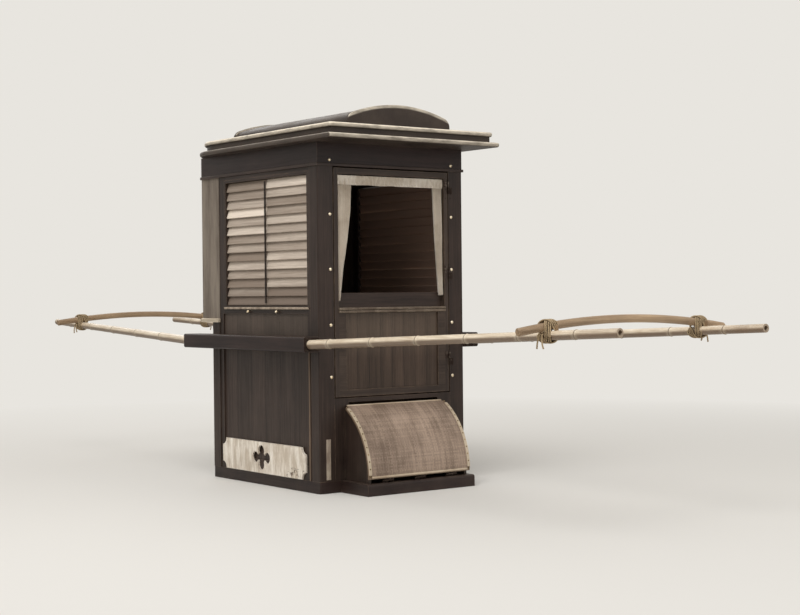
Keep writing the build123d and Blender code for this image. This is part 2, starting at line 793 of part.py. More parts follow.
with BuildPart() as apron_hinges:
    for place in apron_hinge_places:
        start_x = place - apron_hinge_length / 2 + knuckle_half + knuckle_gap
        with BuildSketch(Plane.YZ.offset(start_x)):
            with Locations((apron_hinge_y, apron_hinge_z)):
                Circle(apron_knuckle)
            rectangle((apron_hinge_y - pin_radius, apron_hinge_y + pin_radius), (apron_hinge_z, apron_bottom))
            with Locations((apron_hinge_y, apron_hinge_z)):
                Circle(pin_radius + pin_clearance, mode=Mode.SUBTRACT)
        extrude(amount=knuckle_half)
keep("apron_hinges", apron_hinges)

# Seat across the cabin, with its upright front board and two cushions
with BuildPart() as seat_board:
    with BuildSketch(Plane.XY.offset(seat_height - seat_thickness)):
        rectangle((-side_inner, side_inner), (seat_front_y, post_back_y))
        rectangle((-rear_post_x, rear_post_x), (post_back_y, back_inner_y))
    extrude(amount=seat_thickness)
    fillet(seat_board.edges().filter_by(Axis.X).group_by(Axis.Y)[0].sort_by(Axis.Z)[-1], seat_thickness / 3)
keep("seat_board", seat_board)

with BuildPart() as seat_front:
    along = (seat_front_y + seat_front_inset, seat_front_y + seat_front_inset + board)
    block((-side_inner, side_inner), along, (floor_top, seat_height - seat_thickness))
keep("seat_front", seat_front)

cushion_half = half_width - cushion_margin
with BuildPart() as seat_cushion:
    along = (seat_front_y + cushion_inset, back_inner_y - back_cushion_thickness - 2 * soft_gap)
    up = (seat_height + soft_gap, seat_height + soft_gap + cushion_thickness)
    block((-cushion_half, cushion_half), along, up)
    fillet(seat_cushion.edges(), cushion_round)
keep("seat_cushion", seat_cushion)

with BuildPart() as back_cushion:
    along = (back_inner_y - soft_gap - back_cushion_thickness, back_inner_y - soft_gap)
    block((-cushion_half, cushion_half), along, (seat_height + soft_gap, ledge_top - back_cushion_drop))
    fillet(back_cushion.edges(), cushion_round)
keep("back_cushion", back_cushion)

# Pole housing along each side, bored for the pole, with an iron ferrule at each mouth
with BuildPart() as pole_housing:
    with BuildSketch(Plane.XZ.offset(-housing_back)) as section:
        rectangle((half_width, housing_outer), housing_z)
        fillet(section.vertices().group_by(Axis.X)[-1], housing_round)
        with Locations((pole_offset, pole_height)):
            Circle(bore_radius, mode=Mode.SUBTRACT)
    extrude(amount=housing_front + housing_back)
keep_both("pole_housings", pole_housing)

def ferrule_section():
    """Plate round one mouth of the housing, in the current sketch."""
    half_height = housing_half - ferrule_margin
    across = (half_width + ferrule_margin, housing_outer - ferrule_margin)
    rectangle(across, (pole_height - half_height, pole_height + half_height))
    with Locations((pole_offset, pole_height)):
        Circle(bore_radius, mode=Mode.SUBTRACT)


with BuildPart() as pole_ferrules:
    with BuildSketch(Plane.XZ.offset(-housing_back)):
        ferrule_section()
    extrude(amount=-ferrule_thickness)
    with BuildSketch(Plane.XZ.offset(housing_front)):
        ferrule_section()
    extrude(amount=ferrule_thickness)
keep_both("pole_ferrules", pole_ferrules)


def stretch_plane(mouth, tip):
    """Plane whose X axis runs from a pole's mouth to its tip."""
    direction = (tip - mouth).normalized()
    return Plane(mouth, x_dir=direction, z_dir=direction.cross(Vector(0, 0, 1)))


def cane_joints(mouth, tip):
    """Distances from the mouth of a stretch's cane joints: the yoke lies halfway between two of them."""
    length = (tip - mouth).length
    share = (yoke_place - abs(mouth.Y)) / (abs(tip.Y) - abs(mouth.Y))
    joint = length * share + bamboo_spacing / 2
    joints = []
    while joint > pole_shoulder + bamboo_margin:
        if joint < length - bamboo_margin:
            joints.insert(0, joint)
        joint -= bamboo_spacing
    return joints


def cane_radius(distance, joints):
    """Radius of the cane at a distance from the mouth: it steps down a little at each joint."""
    passed = sum(joint < distance for joint in joints)
    return pole_radius + (pole_end_radius - pole_radius) * passed / len(joints)


def pole_stretch(mouth, tip):
    """Turned outer stretch of a bamboo pole with a ridge at each joint of the cane."""
    plane = stretch_plane(mouth, tip)
    length = (tip - mouth).length
    joints = cane_joints(mouth, tip)
    points = [(pole_shoulder, 0), (pole_shoulder, pole_radius)]
    for joint in joints:
        before = joint - bamboo_ridge_half
        after = joint + bamboo_ridge_half
        points.append((before, cane_radius(before, joints)))
        points.append((joint, cane_radius(joint, joints) + bamboo_ridge))
        points.append((after, cane_radius(after, joints)))
    points += [(length, pole_end_radius), (length, pole_hollow_radius)]
    points += [(length - pole_hollow_depth, pole_hollow_radius), (length - pole_hollow_depth, 0)]
    with BuildSketch(plane) as profile:
        with BuildLine():
            Polyline(*points, close=True)
        make_face()
    return profile.sketch, Axis(mouth, plane.x_dir)


front_mouth = Vector(pole_offset, -(housing_front + mouth_gap), pole_height)
back_mouth = Vector(pole_offset, housing_back + mouth_gap, pole_height)
front_tip = Vector(pole_end_offset, -pole_end, pole_end_height)
back_tip = Vector(pole_end_offset, pole_end, pole_end_height)


def crossing(mouth, tip, place):
    """Pole axis point at a place along Y, with the pole's radius there."""
    share = (place - mouth.Y) / (tip.Y - mouth.Y)
    distance = (tip - mouth).length * share
    return mouth + (tip - mouth) * share, cane_radius(distance, cane_joints(mouth, tip))


front_cross, front_cross_radius = crossing(front_mouth, front_tip, -yoke_place)
back_cross, back_cross_radius = crossing(back_mouth, back_tip, yoke_place)
front_peg, front_peg_radius = crossing(front_mouth, front_tip, -yoke_place - peg_distance)
back_peg, back_peg_radius = crossing(back_mouth, back_tip, yoke_place + peg_distance)

with BuildPart() as pole:
    shoulders = [
        mouth + (tip - mouth).normalized() * pole_shoulder
        for mouth, tip in ((front_mouth, front_tip), (back_mouth, back_tip))
    ]
    with BuildLine() as middle:
        Polyline(shoulders[0], front_mouth, back_mouth, shoulders[1])
    with BuildSketch(Plane(middle.line @ 0, z_dir=middle.line % 0)):
        Circle(pole_radius)
    sweep(path=middle.line, transition=Transition.RIGHT)
    for mouth, tip in ((front_mouth, front_tip), (back_mouth, back_tip)):
        profile, run = pole_stretch(mouth, tip)
        revolve(profile, axis=run)
    for seat in (front_peg, back_peg):
        with Locations(seat):
            Cylinder(peg_radius + pin_clearance, peg_height, mode=Mode.SUBTRACT)
keep_pair("pole", pole)

with BuildPart() as yoke_pegs:
    for seat in (front_peg, back_peg):
        for side in (-1, 1):
            with Locations((side * seat.X, seat.Y, seat.Z - pole_end_radius)):
                Cylinder(peg_radius, peg_height, align=(Align.CENTER, Align.CENTER, Align.MIN))
    chamfer(yoke_pegs.edges().group_by(Axis.Z)[-1], 1.5)
keep("yoke_pegs", yoke_pegs)

# Yokes: arched bars that lie on the poles near their ends, each lashed at both crossings
lashed = []
for end, spot, spot_radius in (
    ("front", front_cross, front_cross_radius),
    ("rear", back_cross, back_cross_radius),
):
    rest_z = spot.Z + spot_radius + yoke_radius + soft_gap
    yoke_arc_radius = spot.X**2 / (2 * yoke_rise)
    top_z = rest_z + yoke_rise
    tip_z = top_z - yoke_half**2 / (2 * yoke_arc_radius)
    with BuildPart() as yoke:
        with BuildLine(Plane.XZ.offset(-spot.Y)) as bow:
            ThreePointArc((-yoke_half, tip_z), (0, top_z), (yoke_half, tip_z))
        with BuildSketch(Plane(bow.line @ 0, z_dir=bow.line % 0)):
            Circle(yoke_radius)
        sweep(path=bow.line)
        chamfer(yoke.edges().filter_by(GeomType.CIRCLE), yoke_chamfer)
    keep(end + "_yoke", yoke)

    with BuildPart() as lashings:
        for side in (-1, 1):
            axis_point = Vector(side * spot.X, spot.Y, spot.Z)
            low = spot.Z - spot_radius - lashing_cover
            high = rest_z + yoke_radius + lashing_cover
            across = (axis_point.X - lashing_half, axis_point.X + lashing_half)
            block(across, (spot.Y - lashing_half, spot.Y + lashing_half), (low, high))
        fillet(lashings.edges().filter_by(Axis.Z), lashing_round)
        for side in (-1, 1):
            run = (front_tip - front_mouth) if spot.Y < 0 else (back_tip - back_mouth)
            axis_run = Vector(side * run.X, run.Y, run.Z).normalized()
            point = Vector(side * spot.X, spot.Y, spot.Z)
            with BuildSketch(Plane(point, z_dir=axis_run)):
                Circle(spot_radius + soft_gap)
            extrude(amount=2 * lashing_half, both=True, mode=Mode.SUBTRACT)
            slope = -side * spot.X / yoke_arc_radius
            yoke_run = Vector(1, 0, slope).normalized()
            with BuildSketch(Plane((side * spot.X, spot.Y, rest_z), z_dir=yoke_run)):
                Circle(yoke_radius + 2 * soft_gap)
            extrude(amount=2 * lashing_half, both=True, mode=Mode.SUBTRACT)
    lashed.append(lashings.part)

with BuildPart() as yoke_lashings:
    add(lashed)
keep("yoke_lashings", yoke_lashings)

os.makedirs("parts", exist_ok=True)
for piece_name, piece in pieces.items():
    export_step(piece, "parts/" + piece_name + ".step")
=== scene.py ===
"""Finishes, cloth, ropes, cane and small fittings of the sedan chair, and the studio it stands in."""

import logging
import math
import random
from dataclasses import dataclass
from enum import Enum
from functools import cache

import bmesh
import bpy
from mathutils import Matrix, Vector, noise
from mathutils.bvhtree import BVHTree


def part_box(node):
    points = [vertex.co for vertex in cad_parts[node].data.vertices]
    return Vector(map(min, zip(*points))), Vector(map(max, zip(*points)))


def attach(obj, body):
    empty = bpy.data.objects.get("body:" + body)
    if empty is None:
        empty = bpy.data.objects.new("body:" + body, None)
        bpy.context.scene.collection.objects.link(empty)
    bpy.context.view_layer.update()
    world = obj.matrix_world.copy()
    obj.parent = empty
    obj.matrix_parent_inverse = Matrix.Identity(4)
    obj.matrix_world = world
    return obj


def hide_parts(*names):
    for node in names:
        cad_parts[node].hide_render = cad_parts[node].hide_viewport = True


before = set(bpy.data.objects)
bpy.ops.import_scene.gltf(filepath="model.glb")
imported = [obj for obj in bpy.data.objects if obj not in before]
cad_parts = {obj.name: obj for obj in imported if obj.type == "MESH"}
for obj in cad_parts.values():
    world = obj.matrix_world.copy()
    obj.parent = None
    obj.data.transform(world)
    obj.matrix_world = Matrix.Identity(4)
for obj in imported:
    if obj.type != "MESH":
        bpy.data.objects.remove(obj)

log = logging.getLogger("sedan_chair")
Tone = tuple[int, int, int]
Colour = tuple[float, float, float, float]
Socket = bpy.types.NodeSocket


class Lie(Enum):
    """The way that the wood's grain runs in a piece."""

    UPRIGHT = "upright"
    ACROSS = "across"
    ALONG = "along"
    ROUND = "round the cabin"
    SIDE_FRAME = "stiles and rails of a side"
    FRONT_FRAME = "stiles and rails of the front"


class Body(Enum):
    """The moving bodies of the chair."""

    CABIN = "root"
    DOOR = "door"
    APRON = "apron"


def linear(tone: Tone) -> Colour:
    """Turns a tone picked on screen into the linear colour that a shader takes.

    Args:
        tone: Red, green and blue, 0 to 255.

    Returns:
        The linear colour with an alpha of 1.
    """
    parts = [c / 255 for c in tone]
    return (*[c / 12.92 if c <= 0.04045 else ((c + 0.055) / 1.055) ** 2.4 for c in parts], 1.0)


class Bench:
    """Adds nodes to one shader tree and joins their sockets."""

    def __init__(self, tree: bpy.types.NodeTree) -> None:
        """Takes the tree that the nodes go into."""
        self.tree = tree

    def add(self, kind: str, inputs: dict | None = None, **settings: object) -> bpy.types.Node:
        """Adds a node.

        Args:
            kind: The node's type.
            inputs: Socket names or numbers, each with a value or with the socket that feeds it.
            **settings: Options of the node.

        Returns:
            The new node.
        """
        node = self.tree.nodes.new(kind)
        for name, value in settings.items():
            setattr(node, name, value)
        for name, value in (inputs or {}).items():
            self.feed(node.inputs[name], value)
        return node

    def feed(self, socket: Socket, value: object) -> None:
        """Links a socket to another one, or sets its value.

        Args:
            socket: The socket.
            value: The socket that feeds it, or its plain value.
        """
        if isinstance(value, Socket):
            self.tree.links.new(value, socket)
        else:
            socket.default_value = value

    def math(self, operation: str, *values: object, clamp: bool = False) -> Socket:
        """Adds a Math node and returns its result."""
        node = self.add("ShaderNodeMath", dict(enumerate(values)), operation=operation, use_clamp=clamp)
        return node.outputs[0]

    def times(self, first: object, second: object, clamp: bool = False) -> Socket:
        """Multiplies two values."""
        return self.math("MULTIPLY", first, second, clamp=clamp)

    def plus(self, first: object, second: object, clamp: bool = False) -> Socket:
        """Adds two values."""
        return self.math("ADD", first, second, clamp=clamp)

    def minus(self, first: object, second: object, clamp: bool = False) -> Socket:
        """Takes the second value from the first."""
        return self.math("SUBTRACT", first, second, clamp=clamp)

    def larger(self, first: object, second: object) -> Socket:
        """Picks the larger of two values."""
        return self.math("MAXIMUM", first, second)

    def size(self, value: object) -> Socket:
        """Drops a value's sign."""
        return self.math("ABSOLUTE", value)

    def floor(self, value: object, step: object) -> Socket:
        """Counts the whole steps in a value."""
        return self.math("FLOOR", self.math("DIVIDE", value, step))

    def above(self, value: object, limit: object) -> Socket:
        """Gives 1 where a value is over a limit, and 0 elsewhere."""
        return self.math("GREATER_THAN", value, limit)

    def shares(self, first: Socket, its: float, second: Socket, rest: float) -> Socket:
        """Adds two values, each times its own share."""
        return self.plus(self.times(first, its), self.times(second, rest))

    def turn(self, operation: str, *values: object) -> Socket:
        """Adds a Vector Math node and returns its result."""
        node = self.add("ShaderNodeVectorMath", dict(enumerate(values)), operation=operation)
        return node.outputs["Value" if operation in ("DOT_PRODUCT", "LENGTH") else "Vector"]

    def vector(self, x: object, y: object, z: object = 0.0) -> Socket:
        """Joins three numbers to one vector."""
        return self.add("ShaderNodeCombineXYZ", {0: x, 1: y, 2: z}).outputs[0]

    def parts(self, place: Socket) -> tuple[Socket, Socket, Socket]:
        """Splits a vector into its three numbers."""
        node = self.add("ShaderNodeSeparateXYZ", {0: place})
        return node.outputs[0], node.outputs[1], node.outputs[2]

    def place(self) -> Socket:
        """Gives the place of a point on the object, in metres."""
        return self.add("ShaderNodeTexCoord").outputs["Object"]

    def facing(self) -> tuple[Socket, Socket, Socket]:
        """Gives how far the surface looks along X, Y and Z, each -1 to 1."""
        return self.parts(self.add("ShaderNodeNewGeometry").outputs["Normal"])

    def openness(self, reach: object) -> Socket:
        """Gives how open the surface lies within a reach: 1 in the open, 0 in a deep corner."""
        return self.add("ShaderNodeAmbientOcclusion", {"Distance": reach}, samples=4).outputs["AO"]

    def remap(self, value: object, low: float, high: float, start: float = 0.0, end: float = 1.0) -> Socket:
        """Maps a span of values to another span, held at its ends, and returns the result."""
        inputs = dict(enumerate((value, low, high, start, end)))
        return self.add("ShaderNodeMapRange", inputs).outputs[0]

    def cloud(self, place: Socket, scale: object, detail: float = 3.0, rough: float = 0.55) -> Socket:
        """Adds a noise texture at a place and returns its value, about 0.3 to 0.7."""
        inputs = {"Vector": place, "Scale": scale, "Detail": detail, "Roughness": rough}
        return self.add("ShaderNodeTexNoise", inputs).outputs[0]

    def streaks(self, place: Socket, fine: tuple, detail: float, rough: float = 0.55) -> Socket:
        """Adds noise with a fineness of its own along each axis and returns its value."""
        return self.cloud(self.turn("MULTIPLY", place, fine), 1.0, detail, rough)

    def blend(self, share: object, first: object, second: object, way: str = "MIX") -> Socket:
        """Mixes two colours by a share and returns the colour.

        Args:
            share: How much of the second colour shows, 0 to 1.
            first: The first colour.
            second: The second colour.
            way: The kind of blend.

        Returns:
            The mixed colour.
        """
        node = self.add("ShaderNodeMix", data_type="RGBA", blend_type=way)
        for number, value in ((0, share), (6, first), (7, second)):
            self.feed(node.inputs[number], value)
        return node.outputs[2]

    def between(self, share: Socket, first: Tone, second: Tone) -> Socket:
        """Mixes two tones by a share and returns the colour."""
        return self.blend(share, linear(first), linear(second))

    def cover(self, colour: Socket, share: Socket, tone: Tone) -> Socket:
        """Lays a tone over a colour, as far as a share says, and returns the colour."""
        return self.blend(share, colour, linear(tone))

    def tint(self, colour: Socket, light: Socket) -> Socket:
        """Makes a colour lighter or darker by a number and returns the colour."""
        return self.blend(1.0, colour, self.vector(light, light, light), "MULTIPLY")

    def group(self, tree: bpy.types.NodeTree, inputs: dict) -> bpy.types.Node:
        """Places a shared effect with its own values.

        Args:
            tree: The effect's group.
            inputs: Socket names, each with a value or with what feeds it.

        Returns:
            The group's node.
        """
        node = self.tree.nodes.new("ShaderNodeGroup")
        node.node_tree = tree
        for name, value in inputs.items():
            self.feed(node.inputs[name], value)
        return node


class Effects:
    """The shared effects, each a node group with named sockets, made once."""

    def __init__(self) -> None:
        """Builds every effect."""
        self.grain = self.make_grain()
        self.wear = self.make_wear()
        self.dust = self.make_dust()
        self.boards = self.make_boards()
        self.weave = self.make_weave()

    def start(self, name: str, inputs: dict) -> tuple[Bench, dict[str, Socket]]:
        """Makes an empty group with its inputs.

        Args:
            name: The group's name.
            inputs: Each input's name with its plain value, a number or a vector.

        Returns:
            The bench and the input sockets by name.
        """
        tree = bpy.data.node_groups.new(name, "ShaderNodeTree")
        for label, value in inputs.items():
            kind = "NodeSocketVector" if isinstance(value, tuple) else "NodeSocketFloat"
            tree.interface.new_socket(label, in_out="INPUT", socket_type=kind).default_value = value
        bench = Bench(tree)
        return bench, {s.name: s for s in bench.add("NodeGroupInput").outputs if s.name}

    def close(self, bench: Bench, results: dict[str, Socket]) -> bpy.types.NodeTree:
        """Gives a group its outputs, each a number, and returns the group.

        Args:
            bench: The group's bench.
            results: Each output's name with the socket that feeds it.

        Returns:
            The group.
        """
        for label in results:
            bench.tree.interface.new_socket(label, in_out="OUTPUT", socket_type="NodeSocketFloat")
        bench.add("NodeGroupOutput", results)
        return bench.tree

    def make_grain(self) -> bpy.types.NodeTree:
        """Wood grain that runs one of two ways, picked by Turned: long streaks and fine pores.

        Returns:
            The group.
        """
        plain = {"Place": (1, 1, 1), "Way": (1, 1, 1), "Other Way": (1, 1, 1), "Turned": 0.0}
        bench, given = self.start("grain", plain)
        ways = {0: given["Turned"], 4: given["Way"], 5: given["Other Way"]}
        way = bench.add("ShaderNodeMix", ways, data_type="VECTOR").outputs[1]
        bend = bench.cloud(given["Place"], 5.0, 1.0)
        place = bench.turn("ADD", bench.turn("MULTIPLY", given["Place"], way), bench.vector(bend, bend, bend))
        fine = bench.cloud(place, 1.0, 5.0, 0.65)
        tone = bench.shares(fine, 0.55, bench.cloud(place, 0.22, 2.0), 0.45)
        return self.close(bench, {"Tone": bench.remap(tone, 0.34, 0.66), "Height": fine})

    def make_wear(self) -> bpy.types.NodeTree:
        """Mask of outer edges rubbed by hands, broken up in patches.

        Returns:
            The group.
        """
        bench, given = self.start("edge_wear", {"Width": 0.004, "Amount": 0.7, "Patches": 22.0})
        rounded = bench.add("ShaderNodeBevel", {"Radius": given["Width"]}, samples=4).outputs[0]
        flat = bench.add("ShaderNodeNewGeometry").outputs["Normal"]
        bent = bench.remap(bench.minus(1.0, bench.turn("DOT_PRODUCT", rounded, flat)), 0.01, 0.16)
        outer = bench.remap(bench.openness(0.02), 0.55, 0.8)
        patch = bench.remap(bench.cloud(bench.place(), given["Patches"], 4.0, 0.6), 0.38, 0.62, 0.15, 1.0)
        mask = bench.times(bench.times(bent, outer), patch)
        return self.close(bench, {"Mask": bench.times(mask, given["Amount"], clamp=True)})

    def make_dust(self) -> bpy.types.NodeTree:
        """Mask of road dust: in corners, on faces that look up, and low down.

        Returns:
            The group.
        """
        bench, given = self.start("dust", {"Amount": 0.5, "Corner": 0.04, "Foot": 0.3})
        place = bench.place()
        corner = bench.remap(bench.openness(given["Corner"]), 0.75, 0.3, 0.0, 0.8)
        lying = bench.remap(bench.facing()[2], 0.55, 0.95, 0.0, 0.9)
        foot = bench.times(bench.remap(bench.parts(place)[2], 0.0, 0.34, 1.0, 0.0), given["Foot"])
        cloud = bench.remap(bench.cloud(place, 9.0, 5.0, 0.6), 0.36, 0.66)
        mask = bench.times(bench.larger(bench.larger(corner, lying), foot), cloud)
        return self.close(bench, {"Mask": bench.times(mask, given["Amount"], clamp=True)})

    def make_boards(self) -> bpy.types.NodeTree:
        """Boards side by side: the seam between them, and a tone of its own for each.

        Returns:
            The group.
        """
        bench, given = self.start("boards", {"Place": 0.0, "Width": 0.1, "Seam": 0.0012})
        near = bench.math("PINGPONG", given["Place"], bench.times(given["Width"], 0.5))
        seam = bench.minus(1.0, bench.math("DIVIDE", near, given["Seam"]), clamp=True)
        count = bench.floor(given["Place"], given["Width"])
        own = bench.add("ShaderNodeTexWhiteNoise", {"W": count}, noise_dimensions="1D").outputs[0]
        return self.close(bench, {"Seam": seam, "Tone": own})

    def make_weave(self) -> bpy.types.NodeTree:
        """Plain weave on a flat map: Over tells the upper thread's way, Height its crown.

        Returns:
            The group.
        """
        bench, given = self.start("weave", {"Map": (0, 0, 0), "Thread": 0.0012})
        across, down, _ = bench.parts(given["Map"])
        steps = [bench.math("DIVIDE", way, given["Thread"]) for way in (across, down)]
        crowns = [bench.math("SINE", bench.times(bench.math("FRACT", step), math.pi)) for step in steps]
        cells = bench.plus(bench.math("FLOOR", steps[0]), bench.math("FLOOR", steps[1]))
        over = bench.math("FLOORED_MODULO", cells, 2.0)
        return self.close(bench, {"Over": over, "Height": bench.times(*crowns)})


effects = Effects()
GRAIN_WAYS = {Lie.UPRIGHT: (150, 150, 5), Lie.ACROSS: (5, 150, 150), Lie.ALONG: (150, 5, 150)}
COAT_ROUGHNESS = 0.22


@dataclass(frozen=True)
class Wear:
    """Outer edges that hands and weather have rubbed.

    Attributes:
        width: Width of the rubbed edge.
        amount: How far it is rubbed, 0 to 1.
        patches: How fine the patches are that break it up.
    """

    width: float
    amount: float
    patches: float = 22.0

    def mask(self, bench: Bench) -> Socket:
        """Gives the mask of the rubbed edges."""
        inputs = {"Width": self.width, "Amount": self.amount, "Patches": self.patches}
        return bench.group(effects.wear, inputs).outputs["Mask"]


@dataclass(frozen=True)
class Dust:
    """Road dust that lies on a finish.

    Attributes:
        amount: How much of it there is, 0 to 1.
        hiding: How far it hides the finish under it, 0 to 1.
        tone: Its tone.
        corner: How far it reaches out of a corner.
        foot: How thick it lies near the ground, 0 to 1.
    """

    amount: float
    hiding: float = 0.55
    tone: Tone = (138, 122, 104)
    corner: float = 0.04
    foot: float = 0.3

    def lay(self, bench: Bench, colour: Socket) -> tuple[Socket, Socket]:
        """Lays the dust over a colour and gives the new colour and the dust's mask.

        Args:
            bench: The bench of its node tree.
            colour: The colour under the dust.

        Returns:
            The new colour and the dust's mask.
        """
        inputs = {"Amount": self.amount, "Corner": self.corner, "Foot": self.foot}
        mask = bench.group(effects.dust, inputs).outputs["Mask"]
        return bench.cover(colour, bench.times(mask, self.hiding), self.tone), mask


@dataclass(frozen=True)
class Finish:
    """What every finish has.

    Attributes:
        name: The material's name.
        roughness: How dull it is, 0 to 1.
        gloss: Strength of its clear coat.
        metal: 1 for bare metal, 0 for anything else.
        mirror: Strength of its mirror light.
        relief: Depth of its fine bumps, in metres.
    """

    name: str
    roughness: float = 0.5
    gloss: float = 0.0
    metal: float = 0.0
    mirror: float = 0.4
    relief: float = 0.0003

    @cache
    def material(self) -> bpy.types.Material:
        """Makes the material once and gives it every time.

        Returns:
            The material.
        """
        made = bpy.data.materials.new(self.name)
        made.use_nodes = True
        bench, shader = Bench(made.node_tree), made.node_tree.nodes["Principled BSDF"]
        plain = {"Roughness": self.roughness, "Coat Weight": self.gloss, "Coat Roughness": COAT_ROUGHNESS,
                 "Metallic": self.metal, "Specular IOR Level": self.mirror}
        for name, value in plain.items():
            shader.inputs[name].default_value = value
        bench.feed(shader.inputs["Base Color"], self.paint(bench, shader))
        return made

    def paint(self, bench: Bench, shader: bpy.types.Node) -> Socket | Colour:
        """Lays the finish's nodes and gives its colour; each finish has its own."""
        raise NotImplementedError

    def bump(self, bench: Bench, shader: bpy.types.Node, height: Socket) -> None:
        """Feeds a height, as deep as the finish's relief, to the shader's normal."""
        node = bench.add("ShaderNodeBump", {"Height": height, "Distance": self.relief, "Strength": 1.0})
        bench.feed(shader.inputs["Normal"], node.outputs[0])


@dataclass(frozen=True)
class Wood(Finish):
    """Wood under lacquer, paint or bare: grain, boards, rubbed edges, painted light and dust.

    Attributes:
        body: Tone of the finish.
        deep: Tone in the grain's dark streaks.
        rubbed: Tone where edges are worn, and of the painted highlight along the bead's crown.
        seam: Tone of the gap between two boards.
        painted_light_tone: Tone of the painted light on the finish's upper part.
        lie: The grain's way.
        opening: Half the opening between two stiles, and its middle, for the framed lies.
        board: Width of the boards, or 0 for one piece.
        board_way: 0 where boards stand side by side along X, 1 along Y.
        rubbing: How far the edges are worn, 0 to 1.
        edge: Width of the worn edge.
        dusty: How much dust lies on it, 0 to 1.
        pale_and_lit: Heights between which the finish turns paler upwards as painted light, and by how much.
        bead: Place along Y of a round bead that gets a painted highlight along its crown, or none.
        crown: Distances from the bead's middle at which the painted highlight ends and is full.
    """

    body: Tone = (74, 62, 54)
    deep: Tone = (48, 39, 34)
    rubbed: Tone = (140, 118, 97)
    seam: Tone = (16, 13, 12)
    painted_light_tone: Tone = (150, 134, 118)
    lie: Lie = Lie.UPRIGHT
    opening: tuple[float, float] = (0.25, 0.0)
    board: float = 0.0
    board_way: int = 0
    rubbing: float = 0.6
    edge: float = 0.003
    dusty: float = 0.35
    pale_and_lit: tuple[float, float, float] = (0.0, 1.0, 0.0)
    bead: float | None = None
    crown: tuple[float, float] = (0.0055, 0.002)
    roughness: float = 0.44
    gloss: float = 0.06
    mirror: float = 0.22
    relief: float = 0.0009

    def ways(self, bench: Bench, place: Socket) -> tuple[tuple, tuple, object]:
        """Gives the grain's two ways and the mask that picks the second one.

        Args:
            bench: The bench of its node tree.
            place: The place on the object.

        Returns:
            The first way, the second way and the mask.
        """
        x, y, _ = bench.parts(place)
        if self.lie is Lie.ROUND:
            turned = bench.above(bench.size(bench.facing()[0]), 0.6)
            return GRAIN_WAYS[Lie.ACROSS], GRAIN_WAYS[Lie.ALONG], turned
        if self.lie in (Lie.SIDE_FRAME, Lie.FRONT_FRAME):
            spot, rail = (y, Lie.ALONG) if self.lie is Lie.SIDE_FRAME else (x, Lie.ACROSS)
            turned = bench.above(bench.size(bench.minus(spot, self.opening[1])), self.opening[0])
            return GRAIN_WAYS[rail], GRAIN_WAYS[Lie.UPRIGHT], turned
        return GRAIN_WAYS[self.lie], GRAIN_WAYS[self.lie], 0.0

    def paint(self, bench: Bench, shader: bpy.types.Node) -> Socket:
        """Lays grain, boards, painted light on the upper part, worn edges, a painted highlight along the
        bead's crown, and dust.

        Args:
            bench: The bench of its node tree.
            shader: The material's shader.

        Returns:
            The finish's colour.
        """
        place = bench.place()
        way, other, turned = self.ways(bench, place)
        inputs = {"Place": place, "Way": way, "Other Way": other, "Turned": turned}
        grain = bench.group(effects.grain, inputs).outputs
        colour = bench.between(grain["Tone"], self.deep, self.body)
        height = bench.times(grain["Height"], 0.25)
        if self.board:
            spot = bench.parts(place)[self.board_way]
            boards = bench.group(effects.boards, {"Place": spot, "Width": self.board}).outputs
            colour = bench.tint(colour, bench.remap(boards["Tone"], 0.0, 1.0, 0.82, 1.12))
            colour = bench.cover(colour, boards["Seam"], self.seam)
            height = bench.minus(height, boards["Seam"])
        stain = bench.remap(bench.cloud(place, 3.2, 4.0, 0.62), 0.36, 0.64, 0.8, 1.16)
        colour = bench.tint(colour, stain)
        # Painted light: the finish turns paler above a height, as if lit above the pole's shade.
        low, high, paler = self.pale_and_lit
        if paler:
            share = bench.remap(bench.parts(place)[2], low, high, 0.0, paler)
            colour = bench.cover(colour, bench.times(share, stain), self.painted_light_tone)
        worn = Wear(self.edge, self.rubbing).mask(bench)
        # Painted highlight along the bead's crown, merged into the worn edges' mask.
        if self.bead is not None:
            off = bench.size(bench.minus(bench.parts(place)[1], self.bead))
            crown = bench.times(bench.remap(off, *self.crown), stain)
            worn = bench.larger(worn, bench.times(crown, 0.6))
        colour = bench.cover(colour, worn, self.rubbed)
        colour, dust = Dust(self.dusty).lay(bench, colour)
        rough = bench.remap(grain["Tone"], 0.0, 1.0, self.roughness + 0.08, self.roughness - 0.05)
        rough = bench.plus(rough, bench.times(bench.larger(worn, dust), 0.3), clamp=True)
        bench.feed(shader.inputs["Roughness"], rough)
        self.bump(bench, shader, height)
        return colour


